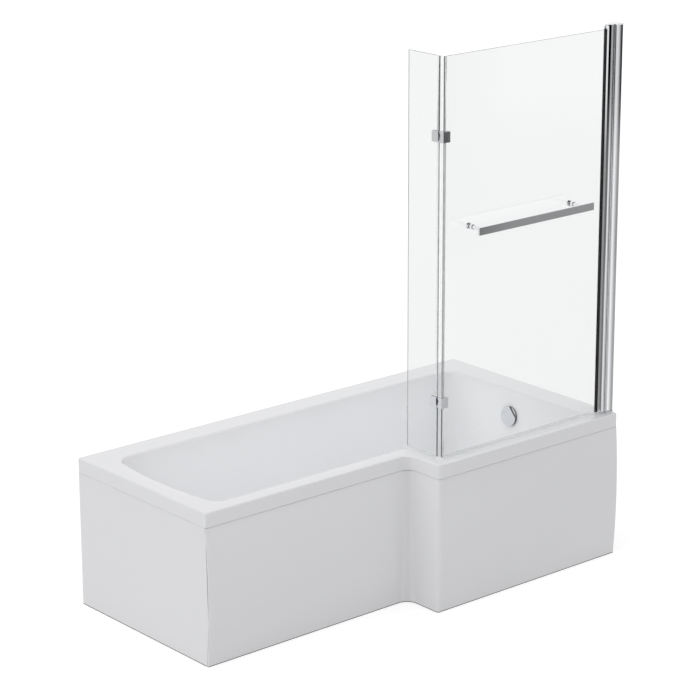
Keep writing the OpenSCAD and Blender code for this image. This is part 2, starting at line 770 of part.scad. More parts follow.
// Rocker at rest: arm down, horn up and inwards
module lift_rocker() {
    color(steel) at_waste() translate([0, rocker_arm, rocker_z]) rotate([rocker_swing, 0, 0])
        difference() {
            union() {
                bar_along_x(0, 0, rocker_hub_r, -rocker_w / 2, rocker_w / 2);
                block([-3, 3], [-rocker_arm, 0], [-rocker_tip_r, rocker_tip_r]);
                bar_along_x(-rocker_arm, 0, rocker_tip_r, -rocker_w / 2, rocker_w / 2);
                block([-2, 2], [-1.5, 1.5], [0, crank_h]);
            }
            bar_along_x(0, 0, rocker_pin_r, -rocker_w, rocker_w);
        }
}

module rocker_pin() {
    half = rocker_w / 2 + fit + lug_t;
    color(steel) at_waste() bar_along_x(rocker_arm, rocker_z, rocker_pin_r, -half, half);
}

// ---- Overflow ----

// Local axes on the end wall: x up the wall, y along it, z out into the basin
module on_tap_wall() {
    translate([overflow_x, waste_y, z_overflow]) rotate([0, tap_tilt - 90, 0]) children();
}

// Cup behind the wall, with the hose spigot, the cable boss and the spindle's bearing
module overflow_body() {
    front = -skin_t - overflow_gasket_t;
    wire_r = 1.2;
    color(grey_plastic) difference() {
        union() {
            on_tap_wall() {
                translate([0, 0, -cup_d]) cylinder(r = cup_r, h = cup_d + front);
                translate([0, 0, front - 3]) cylinder(r = cup_r + 4, h = 3);
            }
            bar_up([hose_x, waste_y], spigot_r, hose_top - spigot_in, z_overflow + 4);
            bar_up([hose_x, cable_top_y], cable_r + 3, z_overflow - 40, z_overflow);
        }
        on_tap_wall() difference() {
            translate([0, 0, -cup_d + cup_wall]) cylinder(r = overflow_hole_r, h = cup_d);
            translate([0, 0, front - 8]) cylinder(r = spindle_r + 3, h = 7);
            for (s = [-1, 1]) {
                translate([-2, s > 0 ? spindle_r : -cup_r, front - 6])
                    cube([4, cup_r - spindle_r, 4]);
                translate([0, s * screw_out, front - 14]) cylinder(r = lug_r, h = 14);
                translate([-lug_r, s > 0 ? screw_out : -cup_r, front - 14])
                    cube([2 * lug_r, cup_r - screw_out, 14]);
            }
        }
        on_tap_wall() {
            translate([0, 0, front - 9]) cylinder(r = spindle_r + fit, h = 10);
            for (s = [-1, 1]) translate([0, s * screw_out, screw_end]) cylinder(r = screw_r, h = 20);
        }
        bar_up([hose_x, waste_y], spigot_r - 2.5, hose_top - spigot_in - 1, z_overflow);
        bar_up([hose_x, cable_top_y], cable_r + fit, z_overflow - 41, z_overflow - 32);
        bar_up([hose_x, cable_top_y], wire_r, z_overflow - 33, z_overflow - 12);
        bar_along_y(hose_x, z_overflow - 12, wire_r, waste_y + 15, cable_top_y);
    }
}

module overflow_gasket() {
    color(black_rubber) on_tap_wall()
        tube(cup_r + 4, overflow_hole_r, -skin_t - overflow_gasket_t, -skin_t);
}

// Chrome seat in the basin: ring, four arms to the spindle's bearing, two screw eyes
module overflow_bezel() {
    color(chrome) on_tap_wall() linear_extrude(bezel_t) difference() {
        union() {
            difference() {
                circle(r = bezel_r);
                circle(r = overflow_hole_r - 2);
            }
            for (a = [45, 135]) rotate([0, 0, a]) square([2 * overflow_hole_r, 3], center = true);
            circle(r = spindle_r + 3);
            for (s = [-1, 1]) translate([0, s * screw_out]) circle(r = lug_r + 1);
        }
        circle(r = spindle_r + fit);
        for (s = [-1, 1]) translate([0, s * screw_out]) circle(r = screw_r);
    }
}

module overflow_screws() {
    color(steel) on_tap_wall() for (s = [-1, 1]) translate([0, s * screw_out, screw_end])
        cylinder(r = screw_r, h = bezel_t - screw_end);
}

// Turning disc with its finger step at the upper front; water enters round its edge
module overflow_knob() {
    z0 = bezel_t + run_gap;
    z1 = z0 + knob_t;
    color(chrome) on_tap_wall() difference() {
        rotate_extrude() polygon([[spindle_r, z1 - 2.5], [spindle_r, z0], [9, z0],
            [9, z1 - knob_plate], [knob_r - 2.5, z1 - knob_plate], [knob_r - 2.5, knob_off],
            [knob_r, knob_off], [knob_r, z1 - 1.2], [knob_r - 1.2, z1], [0, z1], [0, z1 - 2.5]]);
        rotate([0, 0, -45]) translate([0.75 * knob_r, -knob_r, z1 - knob_step])
            cube([knob_r, 2 * knob_r, 10]);
    }
}

// Spindle with the crank that pulls the cable
module knob_spindle() {
    z1 = bezel_t + run_gap + knob_t - 2.5;
    color(steel) on_tap_wall() {
        translate([0, 0, -spindle_len]) cylinder(r = spindle_r, h = spindle_len + z1);
        block([-knob_crank, 0], [-3, 3], [-spindle_len, -spindle_len + 4]);
    }
}

// ---- Hose and cable ----

// Rings along a path lie square to it: p is the point, u and v span the ring
function hoop(p, u, v, r, n) =
    [for (k = [0:n - 1]) let (a = 360 * (k + 0.5) / n) p + r * cos(a) * u + r * sin(a) * v];

// Hose centre line at distance s from the overflow, and its direction's angle below +X
hose_drop = hose_top - hose_z - hose_bend;
hose_arc = hose_bend * PI / 2;
hose_run = hose_x - hose_bend - hose_end_x;
hose_len = hose_drop + hose_arc + hose_run;
function hose_turn(s) = min(max(s - hose_drop, 0), hose_arc) / hose_bend * 180 / PI;
function hose_point(s) =
    let (t = hose_turn(s))
    s < hose_drop ? [hose_x, waste_y, hose_top - s] :
    [hose_x - hose_bend * (1 - cos(t)) - max(s - hose_drop - hose_arc, 0), waste_y,
     hose_z + hose_bend * (1 - sin(t))];
function hose_ring(s, r) =
    let (t = hose_turn(s)) hoop(hose_point(s), [cos(t), 0, -sin(t)], [0, 1, 0], r, 8);

module overflow_hose() {
    crest = hose_r + hose_wall + rib_d;
    valley = hose_r + hose_wall;
    end = 2 * crest;
    n = floor((hose_len - 2 * end) / rib_pitch);
    outside = concat([hose_ring(0, valley)],
        [for (i = [0:n - 1]) each [hose_ring(end + (i + 0.25) * rib_pitch, crest),
                                   hose_ring(end + (i + 0.75) * rib_pitch, valley)]],
        [hose_ring(hose_len, valley)]);
    bore_n = 14;
    inside = concat([hose_ring(hose_len, hose_r)],
        [for (i = [bore_n:-1:0]) hose_ring(hose_drop + hose_arc * i / bore_n, hose_r)],
        [hose_ring(0, hose_r)]);
    color(white_plastic) skin(concat(outside, inside), closed = true);
}

// Cable: rings of eight along the hand-chosen route, square to its local direction
function unit(v) = v / norm(v);
function along(pts, i) = unit(pts[min(i + 1, len(pts) - 1)] - pts[max(i - 1, 0)]);
module pull_cable() {
    n = len(cable_route);
    side = [0.2, 0.1, 1];
    color(black_rubber) skin([for (i = [0:n - 1])
        let (d = along(cable_route, i),
             u = unit(cross(abs(d[2]) > 0.8 ? [1, 0, 0] : side, d)), v = cross(d, u))
        hoop(cable_route[i], u, v, cable_r, 8)]);
}

// ---- Screen, fixed side ----

// U channel on the wall, open towards the post
module wall_channel() {
    w = channel_w;
    z0 = rim_h + cap_t;
    color(chrome) difference() {
        translate([x_wall - channel_d / 2, y_glass, z0]) linear_extrude(z_post_top - z0)
            difference() {
                union() {
                    round_rect(channel_d, w, 4);
                    translate([0, -w / 2]) square([channel_d / 2, w]);
                }
                translate([-channel_d / 2 - 1, -w / 2 + profile_t])
                    square([channel_d + 1 - profile_t, w - 2 * profile_t]);
            }
        for (z = channel_hole_z)
            bar_along_x(y_glass, z, channel_hole_r, x_wall - profile_t - 1, x_wall + 1);
    }
}

// Box profile in the channel, with a hollow face that cradles the post
jamb_back = x_wall - 12;
jamb_half = channel_w / 2 - profile_t - fit;
jamb_face = x_pivot + 10;
module pivot_jamb() {
    z0 = rim_h + cap_t;
    cradle = post_r + 0.4;
    color(chrome) difference() {
        block([jamb_face, jamb_back], [y_glass - jamb_half, y_glass + jamb_half], [z0, z_post_top]);
        bar_up([x_pivot, y_glass], cradle, z0 - 1, z_post_top + 1);
        block([x_pivot + cradle + profile_t, jamb_back - profile_t],
              [y_glass - jamb_half + profile_t, y_glass + jamb_half - profile_t],
              [z0 - 1, z_post_top + 1]);
        for (z = jamb_screw_z)
            bar_along_y(jamb_screw_x, z, screw_r, y_glass + 1, y_glass + jamb_half + 1);
    }
}
jamb_screw_x = x_wall - 20;
jamb_screw_z = [rim_h + 60, rim_h + 680, rim_h + 1300];

// Screws from the bath side, through the channel's arm into the jamb
module jamb_screws() {
    color(steel) for (z = jamb_screw_z) {
        bar_along_y(jamb_screw_x, z, screw_r, y_glass + 8, y_glass + jamb_half);
        bar_along_y(jamb_screw_x, z, 2 * screw_r, y_glass + channel_w / 2,
                    y_glass + channel_w / 2 + 1.5);
    }
}

// Caps: a round lobe over the post and a square one over the channel
module cap_plate() {
    linear_extrude(cap_t) {
        translate([x_pivot, y_glass]) circle(r = post_r + 1);
        translate([x_wall - channel_d / 2, y_glass]) square([channel_d, channel_w + 2], center = true);
        translate([x_pivot, y_glass - 12]) square([x_wall - x_pivot - channel_d, 24]);
    }
}
module bottom_cap() {
    color(chrome) {
        translate([0, 0, rim_h]) cap_plate();
        bar_up([x_pivot, y_glass], pivot_pin_r, rim_h + cap_t - eps, rim_h + cap_t + pivot_pin_len);
    }
}
module top_cap() {
    color(chrome) {
        translate([0, 0, z_post_top]) difference() {
            cap_plate();
            translate([x_pivot, y_glass, -eps]) cylinder(r = post_r + 2, h = run_gap + eps);
        }
        bar_up([x_pivot, y_glass], pivot_pin_r, z_post_top - pivot_pin_len, z_post_top + 1);
    }
}

// ---- Screen, main pane ----

// Round turning post with a nose that holds the glass
module pivot_post() {
    color(chrome) translate([x_pivot, y_glass, z_post])
        linear_extrude(z_post_top - z_post) difference() {
            union() {
                circle(r = post_r);
                translate([-nose_out, -nose_w / 2]) square([nose_out, nose_w]);
            }
            translate([-nose_out - 1, -glass_t / 2 - gasket_t])
                square([nose_out + 1 - slot_in, glass_t + 2 * gasket_t]);
            circle(r = bush_r);
        }
}

module post_bushes() {
    color(white_plastic) translate([x_pivot, y_glass, 0]) {
        tube(bush_r, pivot_pin_r + fit, z_post, z_post + bush_len);
        tube(bush_r, pivot_pin_r + fit, z_post_top - bush_len, z_post_top);
    }
}

// Black U in the post's nose, with lips on both faces of the glass
module glazing_gasket() {
    half = glass_t / 2 + gasket_t;
    color(black_rubber) translate([x_pivot, y_glass, z_glass]) linear_extrude(glass_h)
        difference() {
            union() {
                translate([-nose_out, -half]) square([nose_out - slot_in, 2 * half]);
                translate([-nose_out - gasket_lip, -half - 1]) square([gasket_lip, 2 * half + 2]);
            }
            translate([-nose_out - gasket_lip - 1, -glass_t / 2])
                square([nose_out + gasket_lip + 1 - slot_in - 1, glass_t]);
        }
}

module main_glass() {
    color(clear_glass) difference() {
        block([main_x0, main_x1], [y_glass - glass_t / 2, y_glass + glass_t / 2],
              [z_glass, z_glass_top]);
        for (x = post_x) bar_along_y(x, bar_z, rail_hole_r, y_glass - 10, y_glass + 10);
        for (z = hinge_z) bar_along_y(main_bolt_x, z, leaf_hole_r, y_glass - 10, y_glass + 10);
    }
}

// Section of a clear clip-on seal: across the glass, and out from its edge
module seal_section(reach) {
    difference() {
        translate([-seal_w / 2, -reach]) square([seal_w, seal_grip + reach]);
        translate([-glass_t / 2, 0]) square([glass_t, seal_grip + 1]);
    }
}

module main_bottom_seal() {
    color(clear_seal) translate([0, y_glass, z_glass]) rotate([90, 0, 90])
        translate([0, 0, main_x0 + seal_grip]) linear_extrude(seal_end() - main_x0 - seal_grip)
            wiper_section();
}
function seal_end() = x_pivot - nose_out - gasket_lip - run_gap;

// Bottom seal: grip, web, and two fins that wipe the rim
module wiper_section() {
    low = run_gap - seal_h;
    right = [[glass_t / 2, 0], [glass_t / 2, seal_grip], [seal_w / 2, seal_grip], [seal_w / 2, -1],
             [seal_w / 2 - 1, low], [seal_w / 2 - 2.4, low], [seal_w / 2 - 1.3, -1.5]];
    polygon(concat(right, [for (i = [len(right) - 1:-1:0]) [-right[i][0], right[i][1]]]));
}

// Stretches of the corner seals, clear of the hinges
function edge_spans() = [
    [z_glass, hinge_z[1] - leaf_h / 2 - run_gap],
    [hinge_z[1] + leaf_h / 2 + run_gap, hinge_z[0] - leaf_h / 2 - run_gap],
    [hinge_z[0] + leaf_h / 2 + run_gap, z_glass_top]];

module main_edge_seal() {
    color(clear_seal) for (s = edge_spans()) translate([main_x0, y_glass, s[0]])
        linear_extrude(s[1] - s[0]) rotate([0, 0, -90]) {
            seal_section(main_seal_web);
            translate([0, 1 - main_seal_web - bulb_r]) circle(r = bulb_r);
        }
}

// ---- Hinges ----

main_bolt_x = main_x0 + 12;
return_bolt_y = return_y0 + 14;

// Leaf clamped on the main pane: two plates, the block between them, upper and lower knuckles
module main_leaf(z) {
    x0 = main_x0 - leaf_over;
    y_in = y_glass + glass_t / 2 + pad_t;
    color(chrome) difference() {
        union() {
            block([x0, x0 + leaf_w], [y_glass - leaf_out, y_glass - leaf_out + leaf_t],
                  [z - leaf_h / 2, z + leaf_h / 2]);
            block([x0, x0 + leaf_w], [y_in, y_in + leaf_t], [z - leaf_h / 2, z + leaf_h / 2]);
            block([x0, main_x0 - run_gap], [y_glass - leaf_out, y_in + 1],
                  [z - leaf_h / 2, z + leaf_h / 2]);
            for (zk = [[z - leaf_h / 2, z - knuckle_h / 2 - run_gap],
                       [z + knuckle_h / 2 + run_gap, z + leaf_h / 2]]) {
                bar_up([axis_x, axis_y], barrel_r, zk[0], zk[1]);
                block([axis_x - 3, axis_x + 3], [y_in + 1, axis_y], zk);
            }
        }
        bar_up([axis_x, axis_y], hinge_pin_r, z - leaf_h, z + leaf_h);
        bar_along_y(main_bolt_x, z, leaf_bolt_r, y_glass - bolt_in, y_glass + leaf_out + 1);
        bar_along_y(main_bolt_x, z, head_r, y_glass + leaf_out - head_t, y_glass + leaf_out + 1);
    }
}

// Leaf clamped on the return pane, with the middle knuckle
module return_leaf(z) {
    y0 = return_y0 - 2;
    x_in = x_return + glass_t / 2 + pad_t;
    color(chrome) difference() {
        union() {
            block([x_return - leaf_out, x_return - leaf_out + leaf_t], [y0, y0 + leaf_w],
                  [z - leaf_h / 2, z + leaf_h / 2]);
            block([x_in, x_in + leaf_t], [y0, y0 + leaf_w], [z - leaf_h / 2, z + leaf_h / 2]);
            block([x_return - leaf_out, x_in + 1], [y0, return_y0 - run_gap],
                  [z - leaf_h / 2, z + leaf_h / 2]);
            bar_up([axis_x, axis_y], barrel_r, z - knuckle_h / 2, z + knuckle_h / 2);
            block([x_in + 1, axis_x], [axis_y - 3, axis_y + 3], [z - knuckle_h / 2, z + knuckle_h / 2]);
        }
        bar_up([axis_x, axis_y], hinge_pin_r + fit, z - leaf_h, z + leaf_h);
        bar_along_x(return_bolt_y, z, leaf_bolt_r, x_return - bolt_in, x_return + leaf_out + 1);
        bar_along_x(return_bolt_y, z, head_r, x_return + leaf_out - head_t,
                    x_return + leaf_out + 1);
    }
}

module hinge_pins() {
    color(steel) for (z = hinge_z)
        bar_up([axis_x, axis_y], hinge_pin_r, z - leaf_h / 2, z + leaf_h / 2);
}

// Soft pads between glass and plates
module main_leaf_pads() {
    color(black_rubber) for (z = hinge_z, s = [-1, 1]) difference() {
        translate([main_x0, y_glass + s * (glass_t / 2 + pad_t / 2) - pad_t / 2, z - leaf_h / 2])
            cube([leaf_w - leaf_over, pad_t, leaf_h]);
        bar_along_y(main_bolt_x, z, leaf_bolt_r, y_glass - 20, y_glass + 20);
    }
}
module return_leaf_pads() {
    color(black_rubber) for (z = hinge_z, s = [-1, 1]) difference() {
        translate([x_return + s * (glass_t / 2 + pad_t / 2) - pad_t / 2, return_y0, z - leaf_h / 2])
            cube([pad_t, leaf_w - 2, leaf_h]);
        bar_along_x(return_bolt_y, z, leaf_bolt_r, x_return - 20, x_return + 20);
    }
}

// Clamping bolts, their heads sunk flush in the plates on the bath side
module main_leaf_bolts() {
    color(steel) for (z = hinge_z) {
        bar_along_y(main_bolt_x, z, leaf_bolt_r, y_glass - bolt_in, y_glass + leaf_out - 0.5);
        bar_along_y(main_bolt_x, z, head_r - fit, y_glass + leaf_out - head_t, y_glass + leaf_out);
    }
}
module return_leaf_bolts() {
    color(steel) for (z = hinge_z) {
        bar_along_x(return_bolt_y, z, leaf_bolt_r, x_return - bolt_in, x_return + leaf_out - 0.5);
        bar_along_x(return_bolt_y, z, head_r - fit, x_return + leaf_out - head_t,
                    x_return + leaf_out);
    }
}

// ---- Towel rail ----

module towel_rail() {
    color(chrome) difference() {
        translate([(bar_x0 + bar_x1) / 2, bar_y + bar_t / 2, bar_z]) rotate([0, 90, 0])
            translate([0, 0, -bar_len / 2]) linear_extrude(bar_len) round_rect(bar_h, bar_t, 1);
        for (x = post_x) bar_along_y(x, bar_z, rail_bolt_r, bar_y + 3, bar_y + bar_t + 1);
    }
}

// Post with its collar against the glass
module rail_posts() {
    y1 = y_glass - glass_t / 2 - washer_t;
    color(chrome) for (x = post_x) difference() {
        union() {
            bar_along_y(x, bar_z, stem_r, bar_y + bar_t, y1);
            bar_along_y(x, bar_z, collar_r, y1 - collar_t, y1);
        }
        bar_along_y(x, bar_z, rail_bolt_r, bar_y, y1 + 1);
    }
}

// Domed caps on the bath side of the glass
module rail_caps() {
    y0 = y_glass + glass_t / 2 + washer_t;
    color(chrome) for (x = post_x) translate([x, y0, bar_z]) rotate([-90, 0, 0])
        rotate_extrude() polygon(concat([[rail_bolt_r, cap_len - 4], [rail_bolt_r, 0], [cap_r, 0]],
            [for (a = [0:15:90]) [cap_r - 4 + 4 * cos(a), cap_len - 4 + 4 * sin(a)]],
            [[0, cap_len], [0, cap_len - 4]]));
}

module rail_washers() {
    color(clear_seal) for (x = post_x, s = [-1, 1])
        translate([x, y_glass + s * (glass_t + washer_t) / 2, bar_z]) rotate([90, 0, 0])
            tube(collar_r, rail_bolt_r, -washer_t / 2, washer_t / 2);
}

module rail_bolts() {
    color(steel) for (x = post_x)
        bar_along_y(x, bar_z, rail_bolt_r, bar_y + 3, y_glass + glass_t / 2 + washer_t + cap_len - 4);
}

// ---- Screen, return pane ----

module return_glass() {
    color(clear_glass) difference() {
        block([x_return - glass_t / 2, x_return + glass_t / 2], [return_y0, return_y1],
              [z_glass, z_glass_top]);
        for (z = hinge_z) bar_along_x(return_bolt_y, z, leaf_hole_r, x_return - 10, x_return + 10);
    }
}

module return_bottom_seal() {
    color(clear_seal) translate([x_return, 0, z_glass]) rotate([90, 0, 0])
        translate([0, 0, -return_y1]) linear_extrude(return_w - seal_grip) wiper_section();
}

module return_edge_seal() {
    color(clear_seal) for (s = edge_spans()) translate([x_return, return_y0, s[0]])
        linear_extrude(s[1] - s[0]) {
            seal_section(return_seal_web);
            translate([0, 1 - return_seal_web - bulb_r]) circle(r = bulb_r);
        }
}

bath_shell();
base_board();
rim_battens();
leg_rail(0);  // leg_rail_foot
leg_rail(1);  // leg_rail_middle
leg_rail(2);  // leg_rail_shower
leg_screws();
foot_studs();
foot_nuts();
foot_pads();
wall_brackets();
front_panel();
end_panel();
panel_clips();
floor_battens();
waste_flange();
waste_gaskets();
waste_body();
waste_plug();
plug_seal();
lift_rocker();
rocker_pin();
overflow_body();
overflow_gasket();
overflow_bezel();
overflow_screws();
overflow_knob();
knob_spindle();
overflow_hose();
pull_cable();
wall_channel();
pivot_jamb();
jamb_screws();
bottom_cap();
top_cap();
pivot_post();
post_bushes();
glazing_gasket();
main_glass();
main_bottom_seal();
main_edge_seal();
main_leaf(hinge_z[0]);  // upper_main_leaf
main_leaf(hinge_z[1]);  // lower_main_leaf
main_leaf_pads();
main_leaf_bolts();
hinge_pins();
towel_rail();
rail_posts();
rail_caps();
rail_washers();
rail_bolts();
return_glass();
return_bottom_seal();
return_edge_seal();
return_leaf(hinge_z[0]);  // upper_return_leaf
return_leaf(hinge_z[1]);  // lower_return_leaf
return_leaf_pads();
return_leaf_bolts();
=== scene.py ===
"""L-shaped shower bath with a folding glass screen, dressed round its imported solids.

Lengths here are millimetres until a mesh is written in metres. x runs from the bathing end to the
wall at the shower end, y from the front to the back wall, z up from the floor.

The tub is one closed surface, lofted through rings. A ring is the L-shaped plan, inset on each of
its six sides, with round corners and a round inner corner at the step. Going from rim to floor,
the inset of a side grows with depth by its lean, then turns into the floor through a fillet that
is tangent to both. The floor falls evenly to the waste, and rings drawn in to a circle end there.
The foot end bows: its points shift along x with the square of their distance from its middle.
"""

import json
import math

import bmesh
import bpy
import numpy as np
from mathutils import Matrix, Vector
from mathutils.geometry import tessellate_polygon

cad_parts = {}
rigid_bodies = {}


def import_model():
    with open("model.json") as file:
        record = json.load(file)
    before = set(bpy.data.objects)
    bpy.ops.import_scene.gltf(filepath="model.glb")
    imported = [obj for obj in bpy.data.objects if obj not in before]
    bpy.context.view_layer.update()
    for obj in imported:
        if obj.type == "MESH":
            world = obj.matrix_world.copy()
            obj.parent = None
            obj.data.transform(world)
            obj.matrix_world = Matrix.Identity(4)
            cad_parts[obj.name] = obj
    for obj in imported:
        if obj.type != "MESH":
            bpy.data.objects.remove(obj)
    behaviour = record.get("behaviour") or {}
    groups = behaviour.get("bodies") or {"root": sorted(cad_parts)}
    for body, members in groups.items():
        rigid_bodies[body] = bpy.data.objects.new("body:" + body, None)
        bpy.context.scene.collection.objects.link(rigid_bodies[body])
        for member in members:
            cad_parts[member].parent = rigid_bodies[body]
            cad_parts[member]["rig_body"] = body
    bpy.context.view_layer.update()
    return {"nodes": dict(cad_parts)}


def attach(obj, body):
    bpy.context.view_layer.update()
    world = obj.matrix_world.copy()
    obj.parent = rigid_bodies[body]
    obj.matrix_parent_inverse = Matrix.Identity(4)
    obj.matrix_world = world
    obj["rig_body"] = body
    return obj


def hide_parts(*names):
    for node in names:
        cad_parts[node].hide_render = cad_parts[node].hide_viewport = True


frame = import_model()

# ---- Camera ----
# Where the photograph was taken from: high over the bathing end's front corner, far back with a
# long lens. Place and angles were fitted to the straight edges of bath, panes and wall post.
azimuth, elevation, roll = np.radians([40.364, 17.078, -0.190])
heading = np.array([math.sin(azimuth) * math.cos(elevation),
                    math.cos(azimuth) * math.cos(elevation), -math.sin(elevation)])
across = np.array([math.cos(azimuth), -math.sin(azimuth), 0.0])
above = np.cross(across, heading)
camera = bpy.data.objects.new("camera", bpy.data.cameras.new("camera"))
camera.data.lens = 134.11
camera.data.sensor_width = 36.0
camera.data.clip_end = 200.0
axes = np.stack([across * math.cos(roll) + above * math.sin(roll),
                 above * math.cos(roll) - across * math.sin(roll), -heading], axis=1)
camera.matrix_world = Matrix.Translation((-5.4421, -6.3543, 3.4096)) @ Matrix(axes).to_4x4()
bpy.context.scene.collection.objects.link(camera)
bpy.context.scene.camera = camera
bpy.context.scene.view_settings.view_transform = "Standard"


# ---- Room ----
# A pale studio floor without a horizon, an even white surround and large soft lamps from the left
# and from above. Metal sees the surround with the dark flags that give chrome its bands.
class Wire:
    """A value between shader nodes. Arithmetic on it adds a Math node."""

    def __init__(self, graph, socket):
        self.graph, self.socket = graph, socket

    def __add__(self, other):
        return self.graph.math("ADD", self, other)

    def __sub__(self, other):
        return self.graph.math("SUBTRACT", self, other)

    def __rsub__(self, other):
        return self.graph.math("SUBTRACT", other, self)

    def __mul__(self, other):
        return self.graph.math("MULTIPLY", self, other)

    def __truediv__(self, other):
        return self.graph.math("DIVIDE", self, other)

    def __rtruediv__(self, other):
        return self.graph.math("DIVIDE", other, self)

    def __pow__(self, other):
        return self.graph.math("POWER", self, other)

    __radd__ = __add__
    __rmul__ = __mul__


class Graph:
    """The shader nodes of a material or of the world."""

    def __init__(self, owner):
        owner.use_nodes = True
        self.owner, self.tree = owner, owner.node_tree
        self.tree.nodes.clear()

    def node(self, kind, settings=None, inputs=None, output=0):
        """The wire of one output of a new node. Its settings are made before its inputs."""
        node = self.tree.nodes.new("ShaderNode" + kind)
        settings = dict(settings or {})
        stops = settings.pop("stops", None)
        for name, value in settings.items():
            setattr(node, name, value)
        if stops:
            ramp = node.color_ramp.elements
            ramp[0].position, ramp[-1].position = stops[0][0], stops[-1][0]
            ramp[0].color, ramp[-1].color = (*stops[0][1], 1.0), (*stops[-1][1], 1.0)
            for position, colour in stops[1:-1]:
                ramp.new(position).color = (*colour, 1.0)
        for name, value in (inputs or {}).items():
            if isinstance(value, Wire):
                self.tree.links.new(value.socket, node.inputs[name])
            else:
                socket = node.inputs[name]
                socket.default_value = (*value, 1.0) if socket.type == "RGBA" else value
        return Wire(self, node.outputs[output]) if len(node.outputs) else None

    def math(self, operation, *values):
        """The result of a Math node."""
        return self.node("Math", {"operation": operation}, dict(enumerate(values)))

    def mix(self, factor, first, second):
        """A colour between two."""
        return self.node("Mix", {"data_type": "RGBA"}, {0: factor, 6: first, 7: second}, 2)

    def noise(self, vector, scale, detail=2.0, roughness=0.5, distortion=0.0):
        """Noise from 0 to 1. Scale is the number of its lumps in a metre."""
        return self.node("TexNoise", {}, {"Vector": vector, "Scale": scale, "Detail": detail,
                                          "Roughness": roughness, "Distortion": distortion})

    def stretched(self, vector, scale):
        """Coordinates times a scale for each axis."""
        return self.node("Mapping", {}, {"Vector": vector, "Scale": scale})

    def bump(self, height, distance, strength=1.0):
        """Normals of a relief that is distance metres high where height is 1."""
        return self.node("Bump", {}, {"Height": height, "Distance": distance,
                                      "Strength": strength})

    def finish(self, inputs):
        """The material, with a Principled surface of these inputs."""
        self.node("OutputMaterial", {}, {"Surface": self.node("BsdfPrincipled", {}, inputs)})
        return self.owner


def material(name):
    """The graph of a new material, and the coordinates on its object."""
    graph = Graph(bpy.data.materials.new(name))
    return graph, graph.node("TexCoord", output="Object")


world = bpy.data.worlds.new("studio")
bpy.context.scene.world = world
g = Graph(world)
towards = g.node("TexCoord")
x, y, z = [g.node("SeparateXYZ", {}, {0: towards}, k) for k in range(3)]
# Share of a turn round the horizon, 0.5 on the viewer's side. The camera heads this much east and
# this much north.
east, north = 0.648, 0.762
round_about = g.math("ARCTAN2", x * north - y * east, x * -east - y * north) / (2 * math.pi) + 0.5


def ring_of_tones(*stops):
    """Greys round the horizon, each at a share of the way from the viewer's side (0) round to
    the far side, by the left (-1) or by the right (1)."""
    return g.node("ValToRGB", {"stops": [(0.5 + t / 2, (v,) * 3) for t, v in stops]},
                  {0: round_about})


# What upright metal mirrors near the screen's top, round the towel rail's height, and below it
high = ring_of_tones((-1, 0.80), (-0.62, 0.60), (-0.537, 0.60), (-0.531, 1.0), (-0.25, 1.0),
                     (-0.21, 0.0), (0.19, 0.0), (0.24, 0.38), (0.44, 0.42), (0.453, 0.06),
                     (0.463, 0.06), (0.466, 0.80), (0.484, 0.85), (0.491, 0.80), (0.496, 0.40),
                     (0.501, 0.85), (0.506, 0.40), (0.510, 0.85), (0.513, 0.80), (0.516, 0.0),
                     (0.60, 0.0), (0.75, 0.30), (1, 0.80))
middle = ring_of_tones((-1, 0.80), (-0.62, 0.60), (-0.537, 0.60), (-0.531, 1.0), (-0.25, 1.0),
                       (-0.21, 0.17), (0.16, 0.16), (0.24, 0.45), (0.30, 0.95), (0.44, 0.95),
                       (0.453, 0.08), (0.463, 0.08), (0.466, 0.30), (0.486, 0.30),
                       (0.490, 0.95), (0.506, 0.95), (0.510, 0.30), (0.54, 0.40), (1, 0.85))
low = ring_of_tones((-1, 0.80), (-0.62, 0.50), (-0.537, 0.50), (-0.531, 1.0), (-0.25, 1.0),
                    (-0.21, 0.17), (0.10, 0.20), (0.20, 0.60), (0.28, 0.95), (0.455, 0.60),
                    (0.463, 0.48), (0.466, 0.26), (0.486, 0.26), (0.490, 0.95), (0.506, 0.95),
                    (0.510, 0.36), (0.54, 0.45), (1, 0.85))
bands = g.mix(g.node("MapRange", {}, {0: z, 1: -0.198, 2: -0.222}), high, middle)
bands = g.mix(g.node("MapRange", {}, {0: z, 1: -0.256, 2: -0.268}), bands, low)
# What mirrors in faces that look up, with a dark ceiling over it
upward = ring_of_tones((-1, 0.95), (-0.80, 0.95), (-0.60, 0.45), (-0.35, 0.05), (0.05, 0.30),
                       (0.35, 0.06), (0.60, 0.50), (0.80, 0.95), (1, 0.95))
seen = g.mix(g.node("MapRange", {}, {0: z, 1: -0.10, 2: 0.06}), bands, upward)
seen = g.mix(g.node("MapRange", {}, {0: z, 1: 0.44, 2: 0.54}), seen, (0.03, 0.03, 0.03))
# Past a clear seal it is plain white
past_clear = g.math("GREATER_THAN", g.node("LightPath", output="Transparent Depth"), 0.5)
seen = g.mix(past_clear, seen, (0.95, 0.95, 0.95))
# Grey light on matt faces, the tones above in mirrors, near white through glass, white behind all
light = g.mix(g.node("LightPath", output="Is Glossy Ray"), (0.64, 0.64, 0.645), seen)
light = g.mix(g.node("LightPath", output="Is Transmission Ray"), light, (0.95, 0.95, 0.95))
light = g.mix(g.node("LightPath", output="Is Camera Ray"), light, (1.0, 1.0, 1.0))
g.node("OutputWorld", {}, {"Surface": g.node("Background", {}, {"Color": light})})

floor_mesh = bpy.data.meshes.new("floor")
floor_r = 90.0
turn = np.linspace(0, 2 * math.pi, 96, endpoint=False)
floor_mesh.from_pydata((floor_r * np.stack([np.cos(turn), np.sin(turn), 0 * turn], 1)).tolist(),
                       [], [list(range(96))])
floor = bpy.data.objects.new("floor", floor_mesh)
bpy.context.scene.collection.objects.link(floor)
floor.visible_glossy = False
g = Graph(bpy.data.materials.new("studio floor"))
